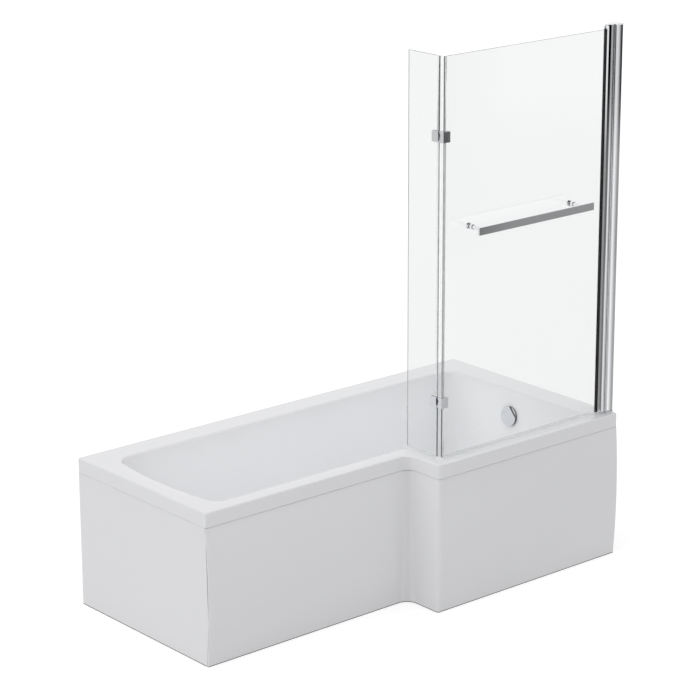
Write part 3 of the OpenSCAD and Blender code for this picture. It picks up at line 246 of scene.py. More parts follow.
# Its own glow bleaches it for the camera and through glass, and lights the object from below
shown = g.node("LightPath", output="Is Camera Ray") * 0.60 \
    + g.node("LightPath", output="Is Transmission Ray") * 0.45 \
    + g.node("LightPath", output="Is Diffuse Ray") * 0.15
matt = g.node("BsdfDiffuse", {}, {"Color": (0.60, 0.60, 0.60)})
glow = g.node("Emission", {}, {"Color": (1.0, 1.0, 1.0), "Strength": shown})
g.node("OutputMaterial", {}, {"Surface": g.node("AddShader", {}, {0: matt, 1: glow})})
floor_mesh.materials.append(g.owner)

lamp_width = math.radians(50)
for name, power, heads in (("key lamp", 0.47, (0.90, -0.06, -0.45)),
                           ("top lamp", 0.40, (0.0, 0.05, -1.0))):
    lamp = bpy.data.objects.new(name, bpy.data.lights.new(name, "SUN"))
    lamp.data.energy, lamp.data.angle = power, lamp_width
    lamp.rotation_euler = Vector(heads).to_track_quat("-Z", "Y").to_euler()
    bpy.context.scene.collection.objects.link(lamp)
# A weak sheet of light over the basin's opening fills it as evenly as in the photograph
lamp = bpy.data.objects.new("basin fill", bpy.data.lights.new("basin fill", "AREA"))
lamp.data.shape, lamp.data.size, lamp.data.size_y, lamp.data.energy = "RECTANGLE", 1.4, 0.36, 0.50
lamp.location = (-0.04, 0.09, 0.56)
lamp.visible_camera = lamp.visible_glossy = lamp.visible_transmission = False
bpy.context.scene.collection.objects.link(lamp)


# ---- Tub ----
# One acrylic sheet, vacuum-formed over a mould and stiffened on its back with sprayed fibreglass.
# It has a rolled edge into the basin, a flat rim, and a lip that hangs over the panels.
def solid(name, points, faces):
    """Closed mesh from points in mm, its faces turned outward."""
    points = np.asarray(points, float).reshape(-1, 3)
    mesh = bpy.data.meshes.new(name)
    mesh.from_pydata((points * 0.001).tolist(), [], [list(f) for f in faces])
    mesh.calc_loop_triangles()
    corners = np.empty(len(mesh.loop_triangles) * 3, np.int32)
    mesh.loop_triangles.foreach_get("vertices", corners)
    a, b, c = np.moveaxis(points[corners.reshape(-1, 3)], 1, 0)
    if np.einsum("ij,ij->", a, np.cross(b, c)) < 0:
        mesh.flip_normals()
    return mesh


def cut(mesh, tool_mesh):
    """The mesh less another closed mesh."""
    body, tool = [bpy.data.objects.new("part of a cut", m) for m in (mesh, tool_mesh)]
    for obj in (body, tool):
        bpy.context.scene.collection.objects.link(obj)
    modifier = body.modifiers.new("cut", "BOOLEAN")
    modifier.object, modifier.operation, modifier.solver = tool, "DIFFERENCE", "EXACT"
    graph = bpy.context.evaluated_depsgraph_get()
    result = bpy.data.meshes.new_from_object(body.evaluated_get(graph))
    result.name = mesh.name
    for obj in (body, tool):
        bpy.data.objects.remove(obj)
    return result


def piece(mesh, body, materials, nodes=(), paint=None, edge=0.0, sharp=35.0):
    """Object of a mesh that moves with a body and stands for its nodes. Edges sharper than an
    angle are rounded by the edge radius in mm, or kept crisp where that is 0."""
    count = len(mesh.polygons)
    mesh.polygons.foreach_set("use_smooth", np.ones(count, bool))
    if materials:
        mesh.materials.clear()
    for m in materials:
        mesh.materials.append(m)
    if paint is not None:
        mesh.polygons.foreach_set("material_index", np.asarray(paint, np.int32))
    obj = bpy.data.objects.new(mesh.name, mesh)
    bpy.context.scene.collection.objects.link(obj)
    if edge:
        bevel = obj.modifiers.new("edge", "BEVEL")
        bevel.width, bevel.segments, bevel.limit_method = edge * 0.001, 3, "ANGLE"
        bevel.angle_limit, bevel.use_clamp_overlap = math.radians(sharp), True
        obj.modifiers.new("flat faces stay flat", "WEIGHTED_NORMAL").weight = 80
    else:
        mesh.set_sharp_from_angle(angle=math.radians(sharp))
    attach(obj, body)
    if nodes:
        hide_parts(*nodes)
    return obj


def dressed(node, materials, edge=0.0, sharp=35.0, name=None):
    """Copy of a solid whose doubled points are merged and flat faces joined, so that its edges
    can be rounded. It stands for that solid."""
    source = frame["nodes"][node]
    work = bmesh.new()
    work.from_mesh(source.data)
    bmesh.ops.remove_doubles(work, verts=work.verts, dist=2e-6)
    bmesh.ops.dissolve_limit(work, angle_limit=0.004, verts=work.verts, edges=work.edges)
    mesh = bpy.data.meshes.new(name or node + "_finished")
    work.to_mesh(mesh)
    work.free()
    for extra in ("custom_normal", "sharp_face", "sharp_edge"):
        if extra in mesh.attributes:
            mesh.attributes.remove(mesh.attributes[extra])
    return piece(mesh, source["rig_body"], materials, [node], None, edge, sharp)


def grid(rows, columns, wrap_rows=False, wrap_columns=True):
    """Quads between neighbouring points of rows of points, as an array of indices."""
    r = np.arange(rows if wrap_rows else rows - 1)[:, None]
    c = np.arange(columns if wrap_columns else columns - 1)[None, :]
    r2, c2 = (r + 1) % rows, (c + 1) % columns
    return np.stack([r * columns + c, r * columns + c2, r2 * columns + c2, r2 * columns + c],
                    -1).reshape(-1, 4)


x_foot, x_wall, x_step = -850.0, 850.0, 5.0
y_narrow, y_wide, y_back = -257.0, -407.0, 443.0
rim_h, lip_h, skin_t, basin_depth, roll_r, fillet = 525.0, 50.0, 6.0, 400.0, 7.0, 55.0
z_lip, z_floor, wall_depth = rim_h - lip_h, rim_h - basin_depth, basin_depth - roll_r
# Radii of the corners and of the one at the step: the lip's, and the basin's, which grow with depth.
# Then the bow of the foot end, how far it reaches, and the floor's fall.
lip_corner, lip_notch, corner_r, corner_grows = 9.0, 38.0, 45.0, 15.0
notch_r, notch_grows, foot_bow, bow_reach, floor_fall = 58.0, 22.0, 26.0, 300.0, 5.0
rim_e = np.array([68.0, 61, 61, 61, 104, 100])
lean_e = np.array([150.0, 42, 42, 42, 35, 42])
waste = np.array([580.0, 18.0])
arc_n = 16


def seen_from_waste(a, b, count):
    """Shares along a straight from a to b that look evenly spaced from the waste: where rays at
    even angles cross it."""
    a, b = np.array(a, float) - waste, np.array(b, float) - waste
    t = np.linspace(math.atan2(a[1], a[0]), math.atan2(b[1], b[0]), count + 2)[1:-1]
    d = b - a
    return (a[1] * np.cos(t) - a[0] * np.sin(t)) / (d[0] * np.sin(t) - d[1] * np.cos(t))


# Shares along the straights of narrow front, step, wide front, wall, back and foot
along = [np.linspace(0, 1, 16)[1:-1], np.linspace(0, 1, 7)[1:-1],
         seen_from_waste((170, -250), (610, -250), 16),
         seen_from_waste((655, -200), (655, 250), 26),
         seen_from_waste((610, 290), (-560, 290), 18), np.linspace(0, 1, 14)[1:-1]]
# A station close to each end keeps the round corners from shading into the straights
held = 0.006
along = [np.concatenate([[held], s[(s > 0.02) & (s < 0.98)], [1 - held]]) for s in along]
arc = np.linspace(0, 1, arc_n + 1)
starts, sweeps = np.radians([180, 90, 180, 270, 0, 90]), np.radians([90, -90, 90, 90, 90, 90])
spokes = starts[:, None] + sweeps[:, None] * arc
spokes = np.stack([np.cos(spokes), np.sin(spokes)], -1)
# Which side each point belongs to: corners change over from one side to the next
side = np.eye(6)[[5, 0, 1, 2, 3, 4, 5]]
share_of_side = np.concatenate([part for k in range(6) for part in (
    side[k] * (1 - arc[:, None]) + side[k + 1] * arc[:, None],
    np.tile(side[k + 1], (len(along[k]), 1)))])


def plan(e, r, rn, bow):
    """Rings of points in plan: e insets foot, narrow front, step, wide front, wall, back. Corners
    have radius r, and rn at the step. Near the foot, x grows by the bow times the squared share
    of the way from the middle to a side."""
    e, r, rn, bow = [np.asarray(v, float) for v in (e, r, rn, bow)]
    x0, x1, x2 = x_foot + e[:, 0], x_step + e[:, 2], x_wall - e[:, 4]
    y0, y1, y2 = y_wide + e[:, 3], y_narrow + e[:, 1], y_back - e[:, 5]
    rh = np.minimum(rn, y1 - y0 - r - 2)
    centres = np.stack([np.stack([x0 + r, y1 + r], -1), np.stack([x1 - rh, y1 - rh], -1),
                        np.stack([x1 + r, y0 + r], -1), np.stack([x2 - r, y0 + r], -1),
                        np.stack([x2 - r, y2 - r], -1), np.stack([x0 + r, y2 - r], -1)], 1)
    radii = np.stack([r, rh, r, r, r, r], -1)
    corners = centres[:, :, None] + radii[:, :, None, None] * spokes[None]
    parts = []
    for k in range(6):
        a, b = corners[:, k, -1], corners[:, (k + 1) % 6, 0]
        parts += [corners[:, k], a[:, None] + (b - a)[:, None] * along[k][None, :, None]]
    xy = np.concatenate(parts, 1)
    s = (xy[..., 1] - ((y1 + y2) / 2)[:, None]) / ((y2 - y1) / 2)[:, None]
    near = np.clip(1 - (xy[..., 0] - x0[:, None]) / bow_reach, 0, None)
    xy[..., 0] += bow[:, None] * s ** 2 * near
    return xy


def floor_rise(x):
    """The floor's height over the waste: its fall times the share of the way to the foot end."""
    return floor_fall * (waste[0] - x) / (waste[0] - x_foot)


def rings(e, r, rn, z, bow, fall=0.0):
    """Rings in space. z is a height for each side, and fall is how far a ring takes part in the
    floor's slope to the waste."""
    e = np.asarray(e, float)
    m = len(e)
    full = [np.broadcast_to(np.asarray(v, float), (m,)) for v in (r, rn, bow, fall)]
    xy = plan(e, full[0], full[1], full[2])
    z = np.broadcast_to(np.asarray(z, float), (m, 6))
    # Insets are listed foot first, sides of points narrow front first
    z = z[:, [1, 2, 3, 4, 5, 0]] @ share_of_side.T
    z = z + full[3][:, None] * floor_rise(xy[..., 0])
    return np.concatenate([xy, z[..., None]], -1)


def edge_rings(u, z):
    """Rings of the lip and the rim's edge: all sides inset by u, which comes off the corners'
    radius and adds to the one at the step."""
    u = np.asarray(u, float)
    return rings(np.tile(u[:, None], 6), np.maximum(lip_corner - u, 1), lip_notch + u,
                 np.asarray(z, float)[:, None], 0.0)


def wall_rings(d, t):
    """Rings down the walls at depths d. A side is inset by its rim width and its lean times the
    share of the wall's depth, less the skin t on the back."""
    d = np.asarray(d, float)
    s = ((d - roll_r) / wall_depth)[:, None]
    return rings(rim_e + lean_e * s - t, corner_r + corner_grows * s[:, 0] + t,
                 notch_r + notch_grows * s[:, 0] - t, rim_h - d[:, None], foot_bow)


def fillet_rings(share, t):
    """Rings of the turn from wall to floor, on the inner face (t = 0) or the back of the skin. On
    each side a circle turns from the wall's lean to level: its cosine goes into the inset, its
    sine into the height."""
    s = (basin_depth - fillet - roll_r) / wall_depth
    lean = np.arctan(lean_e / wall_depth)
    a = lean + (math.pi / 2 - lean) * np.asarray(share, float)[:, None]
    middle = rim_e + lean_e * s + fillet / np.cos(lean)
    u = fillet * (1 - np.cos(a)).mean(1)
    z = z_floor + fillet - (fillet + t) * np.sin(a)
    back = t * np.cos(a).mean(1)
    return rings(middle - (fillet + t) * np.cos(a), corner_r + corner_grows * s - 0.6 * u + back,
                 notch_r + notch_grows * s + u - back, z, foot_bow,
                 0.0 if t else (1 - np.cos(a)).mean(1))


def round_waste(edge_ring, radii, shares, heights):
    """Rings drawn in from a ring to circles round the waste: each has a radius, a share of the
    way in, and a height, or None for the floor's own slope."""
    away = edge_ring[:, :2] - waste
    spoke = away / np.linalg.norm(away, axis=1, keepdims=True)
    out = []
    for radius, share, height in zip(radii, shares, heights):
        xy = (1 - share) * edge_ring[:, :2] + share * (waste + radius * spoke)
        z = z_floor + floor_rise(xy[:, :1]) if height is None else np.full((len(xy), 1), height)
        out.append(np.concatenate([xy, z], 1))
    return np.array(out)


rim_edge, quarter = 4.0, np.radians(np.linspace(0, 90, 9))
over = np.radians(np.linspace(0, 90, 13))[:, None]
roll_in, roll_down = roll_r * (1 - np.sin(over)), roll_r * (1 - np.cos(over))
under_floor = fillet_rings([1.0], skin_t)[0]
floor_ring = fillet_rings([1.0], 0.0)[0]
z_pad = 115.5
back_of_tub = np.concatenate([
    round_waste(under_floor, [24, 24, 39.5, 41, 41], [1, 1, 1, 1, 1],
                [116.3, z_pad, z_pad, 117.0, z_floor - skin_t]),
    round_waste(under_floor, [43, 41, 41], [1.0, 0.6, 0.25], [z_floor - skin_t] * 3),
    fillet_rings(np.linspace(1, 0, 9), skin_t), wall_rings([330, 180, 40, 26], skin_t),
    rings([rim_e - skin_t], corner_r + skin_t, notch_r - skin_t, rim_h - skin_t, foot_bow)])
front_of_tub = np.concatenate([
    edge_rings([10, 6, 6, 6, 6, 5.6, 1.4, 0.4, 0, 0],
               [rim_h - skin_t, rim_h - skin_t, 515, 480, z_lip + 0.4, z_lip, z_lip, z_lip + 0.4,
                z_lip + 1.4, 480]),
    edge_rings([0], [517]),
    edge_rings(rim_edge * (1 - np.cos(quarter)), rim_h - rim_edge * (1 - np.sin(quarter))),
    edge_rings([7], [rim_h]),
    rings([rim_e - roll_r - 4], corner_r + 9, notch_r - 9, rim_h, foot_bow),
    rings(rim_e - roll_in, corner_r + roll_in[:, 0], notch_r - roll_in[:, 0], rim_h - roll_down,
          foot_bow),
    wall_rings([11, 40, 90, 150, 210, 270, 318], 0.0),
    fillet_rings(np.linspace(0, 1, 15), 0.0),
    round_waste(floor_ring, [37.2, 37.2, 37.2, 36.6, 35.8, 35.5, 35.5, 35.5, 24, 24],
                [0.2, 0.6, 1, 1, 1, 1, 1, 1, 1, 1],
                [None, None, None, 124.9, 124.5, 123.6, 122.0, 121.5, 121.5, 120.9])])
stack = np.concatenate([back_of_tub, front_of_tub])
rows, columns = stack.shape[:2]

g, at = material("gloss white acrylic")
peel = g.noise(at, 140.0, 3.0)
long_wave = g.noise(at, 6.0, 1.0)
haze = g.noise(at, 45.0, 4.0, 0.6)
tone = g.mix(g.noise(at, 3.0, 2.0), (0.905, 0.906, 0.918), (0.917, 0.919, 0.930))
acrylic = g.finish({
    "Base Color": tone, "Roughness": 0.13 + haze * 0.10, "IOR": 1.49, "Coat Weight": 0.25,
    "Coat Roughness": 0.06, "Normal": g.bump(peel + long_wave * 6.0, 0.00006, 0.6)})

g, at = material("sprayed fibreglass")
strands = [g.noise(g.stretched(at, scale), 1.0, 3.0, 0.6, 1.5) for scale in
           ((700.0, 60.0, 260.0), (70.0, 650.0, 240.0), (320.0, 300.0, 60.0))]
strand = g.math("MAXIMUM", g.math("MAXIMUM", strands[0], strands[1]), strands[2])
lumps = g.noise(at, 22.0, 3.0)
tone = g.mix(g.node("MapRange", {}, {0: strand, 1: 0.52, 2: 0.74}), (0.50, 0.47, 0.38),
             (0.70, 0.68, 0.58))
tone = g.mix(lumps * 0.5, tone, (0.62, 0.59, 0.48))
fibreglass = g.finish({
    "Base Color": tone, "Roughness": 0.42 + lumps * 0.3, "IOR": 1.5,
    "Normal": g.bump(strand + lumps * 3.0, 0.0012, 0.8)})

# The overflow sits on the leaning end wall, level with the waste across the bath
overflow_z, wall_lean = 431.0, math.atan(lean_e[4] / wall_depth)
overflow_at = np.array([x_wall - rim_e[4] - math.tan(wall_lean) * (rim_h - roll_r - overflow_z),
                        waste[1], overflow_z])
# Columns are the directions up the end wall, along it and out of it into the basin
on_wall = np.array([[math.sin(wall_lean), 0, -math.cos(wall_lean)], [0, 1, 0],
                    [math.cos(wall_lean), 0, math.sin(wall_lean)]])


def turned(profile, bore=False, n=96):
    """Points and faces of a profile of radius and height, turned about the height's axis: the
    radius times the cosine and the sine of each angle."""
    r, h = np.asarray(profile, float).T
    t = np.linspace(0, 2 * math.pi, n, endpoint=False)
    points = np.stack([r[:, None] * np.cos(t), r[:, None] * np.sin(t),
                       np.broadcast_to(h[:, None], (len(r), n))], -1).reshape(-1, 3)
    faces = grid(len(r), n, bore).tolist()
    if not bore:
        faces += [list(range(n)), list(range((len(r) - 1) * n, len(r) * n))]
    return points, faces


paint = np.ones((rows, columns), int)
paint[len(back_of_tub) - 1:] = 0
tub_mesh = solid("tub", stack, grid(rows, columns, True))
tub_mesh.materials.append(acrylic)
tub_mesh.materials.append(fibreglass)
tub_mesh.polygons.foreach_set("material_index", paint.ravel().astype(np.int32))
overflow_hole_r = 24
points, faces = turned([[overflow_hole_r, -25], [overflow_hole_r, 25]])
tub_mesh = cut(tub_mesh, solid("hole", points @ on_wall.T + overflow_at, faces))
piece(tub_mesh, "bath", [], ["bath_shell"], sharp=40)


# ---- Panels ----
# Thermoformed sheet of the tub's material. The front one is a single sheet bent round the step,
# bowed from top to bottom, with a tongue behind the lip and a turned-in foot.
# The lowest 3 mm of a panel's face takes painted shade, for its contact line on the floor
panel_h, panel_t, tongue_h, tongue_in, foot_shade_height = 473.5, 4.0, 16.0, 10.6, 3.0
front_bow, toe, short_toe, play = 10.0, 22.0, 8.0, 0.5


def panel_face(z, bow):
    """Inset of the outer face: 3 mm at top and foot, less a parabola that stands out by the bow
    at mid height."""
    return 3 - 4 * bow * z / panel_h * (1 - z / panel_h)


def panel_section(bow, toe, top):
    """Inset behind the lip's face and height of the points round a panel's section."""
    z = np.linspace(0, 1, 29)
    inner = panel_t + (panel_h - 2 * panel_t) * z
    outer = np.insert(panel_h * z[::-1], -1, foot_shade_height)
    return np.concatenate([
        [[toe, 0], [toe, panel_t]], np.stack([panel_face(inner, bow) + panel_t, inner], 1),
        [[tongue_in, panel_h - panel_t], [tongue_in, top], [tongue_in - panel_t, top],
         [tongue_in - panel_t, panel_h]],
        np.stack([panel_face(outer, bow), outer], 1)])


def front_path(o):
    """Plan of the front panel: for each inset o, the stations from bathing end to wall. Straights
    along the two fronts and the step join in quarter circles that keep the lip's centres."""
    r, inner_r = np.maximum(lip_corner - o, 2)[:, None], lip_notch + o[:, None]
    inward = np.radians(np.linspace(90, 0, 33))
    outward = np.radians(np.linspace(180, 270, 17))
    ones = np.ones_like(r)
    narrow = np.concatenate([[3, 23, 24, 30], np.linspace(60, 780, 9), [806]]) + x_foot
    step = np.linspace(y_narrow - 50, y_wide + 26, 4)
    wide = np.concatenate([np.linspace(x_step + 30, x_wall - 40, 9), x_wall - np.array([8, 7, 1])])
    x = [narrow * ones, x_step - lip_notch + inner_r * np.cos(inward),
         (x_step + o)[:, None] + 0 * step, x_step + o[:, None] + r * (1 + np.cos(outward)),
         wide * ones]
    y = [(y_narrow + o)[:, None] + 0 * narrow, y_narrow - lip_notch + inner_r * np.sin(inward),
         step * ones, y_wide + o[:, None] + r * (1 + np.sin(outward)),
         (y_wide + o)[:, None] + 0 * wide]
    return np.stack([np.concatenate(x, 1), np.concatenate(y, 1)], -1)


# The tongue, the top edges under the lip and a 3 mm band at the panels' feet are rough and dark
# grey: painted shade for the shadow gap under the lip and the contact line on the floor
g, at = material("acrylic edge with painted shade")
saw = g.noise(g.stretched(at, (900.0, 900.0, 60.0)), 1.0, 3.0)
smear = g.noise(at, 30.0, 3.0)
painted_shade_acrylic = g.finish({
    "Base Color": g.mix(smear, (0.16, 0.16, 0.165), (0.26, 0.26, 0.265)),
    "Roughness": 0.6 + saw * 0.2, "Normal": g.bump(saw, 0.0002)})


def of_faces(mesh, kind):
    """The centres or normals of a mesh's faces, a row for each face."""
    rows = np.empty(len(mesh.polygons) * 3)
    mesh.polygons.foreach_get(kind, rows)
    return rows.reshape(-1, 3)


def painted_shade_faces(mesh):
    """Which faces of a panel get painted shade: those under the lip, and a band at its foot."""
    height = of_faces(mesh, "center")[:, 2] * 1000
    return (height > panel_h - 0.3) | (height < panel_t + 0.2)


def lofted(name, stations):
    """Closed mesh through rings of points, with a face over the first and the last ring."""
    m, n = stations.shape[:2]
    ends = [list(range(n)), list(range((m - 1) * n, m * n))]
    return solid(name, stations, grid(m, n).tolist() + ends)


full = panel_section(front_bow, toe, panel_h + tongue_h)
short = panel_section(front_bow, short_toe, panel_h + 0.5)
paths = [np.concatenate([front_path(s[:, 0]), np.broadcast_to(
    s[:, 1, None, None], (len(s), front_path(s[:, 0]).shape[1], 1))], -1) for s in (full, short)]
stations = np.moveaxis(paths[0], 1, 0).copy()
stations[[0, 1, -2, -1]] = np.moveaxis(paths[1], 1, 0)[[0, 1, -2, -1]]
sheet = lofted("front_panel_sheet", stations)
# Faces under the lip and the band at the foot take the painted shade
piece(sheet, "bath", [acrylic, painted_shade_acrylic], ["front_panel"], painted_shade_faces(sheet), edge=0.7)

# The end panel is flat. Its front edge follows the inside of the front panel, toe and top too
full, cut_back = panel_section(0, toe, panel_h + tongue_h), panel_section(0, toe, panel_h + 0.3)
z = full[:, 1]
front_edge = play + np.where(z < panel_t + play, short_toe, np.where(
    z > panel_h - panel_t - play, tongue_in, panel_face(z, front_bow) + panel_t))
behind = np.concatenate([np.linspace(y_narrow + 30, 425, 12), [436.0, 436.5, 442.0]])
y = np.concatenate([[y_narrow + front_edge], np.tile(behind[:, None], (1, len(z)))])
stations = np.stack([np.broadcast_to(x_foot + full[:, 0], y.shape), y,
                     np.broadcast_to(z, y.shape)], -1).copy()
stations[-2:, :, 2] = cut_back[:, 1]
sheet = lofted("end_panel_sheet", stations)
# Faces under the lip and the band at the foot take the painted shade
piece(sheet, "bath", [acrylic, painted_shade_acrylic], ["end_panel"], painted_shade_faces(sheet), edge=0.7)


# ---- Carriage ----
# Chipboard bonded under the floor, planed softwood stiffeners, pressed and plated steel rails,
# brackets and clips, and levelling feet of threaded rod with moulded pads.
def grained(obj):
    """Gives every separate stick in a mesh its own grain coordinates, first along its length."""
    mesh = obj.data
    co = np.empty(len(mesh.vertices) * 3)
    mesh.vertices.foreach_get("co", co)
    co = co.reshape(-1, 3)
    ends = np.empty(len(mesh.edges) * 2, np.int32)
    mesh.edges.foreach_get("vertices", ends)
    ends = ends.reshape(-1, 2)
    label, before = np.arange(len(co)), None
    while before is None or (label != before).any():
        before = label.copy()
        low = label[ends].min(1)
        np.minimum.at(label, ends[:, 0], low)
        np.minimum.at(label, ends[:, 1], low)
    grain = co.copy()
    for part in np.unique(label):
        own = label == part
        size = np.ptp(co[own], axis=0)
        grain[own] = co[own][:, np.argsort(-size)] + 0.37 * part
    mesh.attributes.new("grain", "FLOAT_VECTOR", "POINT").data.foreach_set(
        "vector", grain.astype(np.float32).ravel())
    return obj


g = Graph(bpy.data.materials.new("planed softwood"))
at = g.node("Attribute", {"attribute_name": "grain"}, output=1)
wander = g.noise(g.stretched(at, (1.2, 14.0, 14.0)), 1.0, 3.0)
years = g.node("TexWave", {"wave_type": "RINGS", "rings_direction": "X"}, {
    "Vector": g.stretched(at, (0.4, 1.0, 1.0)), "Scale": 70.0, "Distortion": 3.0,
    "Detail": 2.0, "Detail Scale": 0.6}, 1)
fibres = g.noise(g.stretched(at, (18.0, 900.0, 900.0)), 1.0, 3.0, 0.6)
tone = g.mix(years ** 2.5 * 0.8, (0.62, 0.42, 0.22), (0.44, 0.25, 0.10))
tone = g.mix(fibres * 0.35, tone, (0.70, 0.52, 0.30))
tone = g.mix(wander * 0.4, tone, (0.55, 0.36, 0.18))
softwood = g.finish({"Base Color": tone, "Roughness": 0.62 + fibres * 0.2,
                     "Normal": g.bump(fibres + years * 0.5, 0.0002)})

g, at = material("chipboard")
chips = g.node("TexVoronoi", {}, {"Vector": g.stretched(at, (170.0, 260.0, 420.0)),
                                  "Scale": 1.0, "Randomness": 1.0}, 1)
dust = g.noise(at, 700.0, 3.0)
tint = g.node("SeparateColor", {}, {0: chips}, 0)
tone = g.node("ValToRGB", {"stops": [(0.0, (0.33, 0.20, 0.10)), (0.35, (0.50, 0.34, 0.18)),
                                     (0.75, (0.60, 0.44, 0.26)), (1.0, (0.70, 0.56, 0.36))]},
              {0: tint})
tone = g.mix(dust * 0.5, tone, (0.52, 0.37, 0.21))
chipboard = g.finish({"Base Color": tone, "Roughness": 0.7 + dust * 0.15,
                      "Normal": g.bump(tint + dust, 0.0002)})


turns_per_metre = 571.4


def plated(name, thread=False):
    """Bright zinc with its crystal pattern and rolling marks, or with a screw thread upright."""
    g, at = material(name)
    crystal = g.node("SeparateColor", {}, {0: g.node("TexVoronoi", {}, {
        "Vector": at, "Scale": 85.0}, 1)}, 1)
    rolled = g.noise(g.stretched(at, (60.0, 900.0, 900.0)), 1.0, 2.0)
    stain = g.noise(at, 14.0, 4.0, 0.6)
    tone = g.mix(crystal * 0.6 + stain * 0.3, (0.50, 0.51, 0.53), (0.72, 0.73, 0.74))
    height, depth = rolled + crystal * 0.3, 0.00004
    if thread:
        turns = g.node("SeparateXYZ", {}, {0: at}, 2) * turns_per_metre
        height, depth = g.math("ABSOLUTE", g.math("FRACT", turns) - 0.5) * 2.0, 0.0008
    return g.finish({
        "Base Color": tone, "Metallic": 1.0, "Roughness": 0.28 + stain * 0.2 + crystal * 0.08,
        "Normal": g.bump(height, depth)})


def moulded(name, colour, rough=0.42, grain=500.0, depth=0.00005):
    """Moulded plastic or rubber with the fine texture of its tool."""
    g, at = material(name)
    spark = g.noise(at, grain, 2.0)
    flow = g.noise(at, 18.0, 3.0)
    pale = [min(c * 1.12 + 0.01, 1) for c in colour]
    return g.finish({
        "Base Color": g.mix(flow, colour, pale),
        "Roughness": rough - 0.06 + spark * 0.08 + flow * 0.06,
        "Normal": g.bump(spark + flow * 2.0, depth)})


zinc, threaded = plated("zinc plate"), plated("threaded zinc plate", True)
grey_plastic = moulded("grey polypropylene", (0.16, 0.165, 0.175))
white_plastic = moulded("white polypropylene", (0.74, 0.74, 0.72), 0.38)
rubber = moulded("black rubber", (0.012, 0.012, 0.013), 0.5, 900.0, 0.00003)
grained(dressed("base_board", [chipboard], 0.5))
grained(dressed("rim_battens", [softwood], 1.2))
grained(dressed("floor_battens", [softwood], 1.2))
for node in ("leg_rail_foot", "leg_rail_middle", "leg_rail_shower", "wall_brackets",
             "panel_clips"):
    dressed(node, [zinc], 0.6)
dressed("leg_screws", [zinc], 0.3)
dressed("foot_studs", [threaded], 0.5)
dressed("foot_nuts", [zinc], 0.6)
dressed("foot_pads", [grey_plastic], 1.2)


# ---- Waste ----
# A chromed brass flange drawn down on the floor by the housing below it, with a pop-up plug that
# a steel rocker lifts. The housing is moulded plastic.
def polished(name, drawn=False, tint=(0.87, 0.88, 0.90)):
    """Chromed or polished metal: faint haze, slow waves, and drawing lines along an extrusion."""
    g, at = material(name)
    haze = g.noise(at, 60.0, 4.0, 0.65)
    wave = g.noise(at, 9.0, 1.0)
    height, depth = wave, 0.00008
    if drawn:
        lines = g.noise(g.stretched(at, (1400.0, 1400.0, 1.5)), 1.0, 2.0)
        height, depth = wave + lines * 0.004, 0.00006
    pale = [min(c * 1.05, 1) for c in tint]
    return g.finish({
        "Base Color": g.mix(haze, tint, pale), "Metallic": 1.0,
        "Roughness": 0.03 + haze * 0.05, "Normal": g.bump(height, depth, 0.5)})


def finished(node, coat):
    """Gives a material to a solid that is shown as it was packed."""
    frame["nodes"][node].data.materials.clear()
    frame["nodes"][node].data.materials.append(coat)


chrome, profile = polished("polished chrome"), polished("polished drawn aluminium", True)
waste_at = np.array([*waste, 0.0])
dressed("waste_flange", [chrome], 0.4, 40)
dressed("waste_body", [grey_plastic], 0.6, 40)
for node in ("waste_gaskets", "plug_seal"):
    dressed(node, [rubber], 0.3, 40)
dressed("lift_rocker", [zinc], 0.4, 40)
finished("rocker_pin", zinc)
# The plug's top rises by 3 mm with the square of the distance from its edge's radius
plug_r, stem_r, z_stem, z_edge, dome_h = 30.0, 4.0, 68.8, 129.45, 3.0
dome = np.linspace(plug_r, 1, 16)[1:]
dome = np.stack([dome, z_edge + dome_h * (1 - (dome / plug_r) ** 2)], 1)
rim = np.radians(np.linspace(0, 80, 6))
foot = np.radians(np.linspace(10, 90, 8))
profile_of_plug = np.concatenate([
    np.stack([stem_r * np.sin(foot), z_stem + stem_r * (1 - np.cos(foot))], 1),
    [[stem_r, 110], [stem_r, 117.2], [4.6, 117.5], [14, 118.5], [16.6, 122], [17, 122.6],
     [17, 126.5], [plug_r - 0.6, 126.5], [plug_r, 127.1]],
    np.stack([plug_r - 1 + np.cos(rim), 128.5 + np.sin(rim)], 1), dome])
points, faces = turned(profile_of_plug)
piece(solid("plug_turned", points + waste_at, faces), "plug", [chrome], ["waste_plug"],
      sharp=30)


# ---- Overflow ----
# A moulded cup behind the end wall, clamped through it to a chromed seat in the basin. The turning
# disc in front has a finger step and pulls the cable through a crank on its spindle. Its edge and
# the step's riser are chrome darkened to near black: a painted dark reflection.
dressed("overflow_body", [grey_plastic], 0.6, 40)
dressed("overflow_gasket", [rubber], 0.3, 40)
dressed("overflow_bezel", [chrome], 0.5, 40)
dressed("overflow_screws", [zinc], 0.3, 40)
dressed("knob_spindle", [zinc], 0.4, 40)
# Chrome darkened to near black: a painted dark reflection for the disc's edge and the step's riser
painted_dark_chrome = polished("chrome with painted dark reflection", tint=(0.06, 0.06, 0.065))
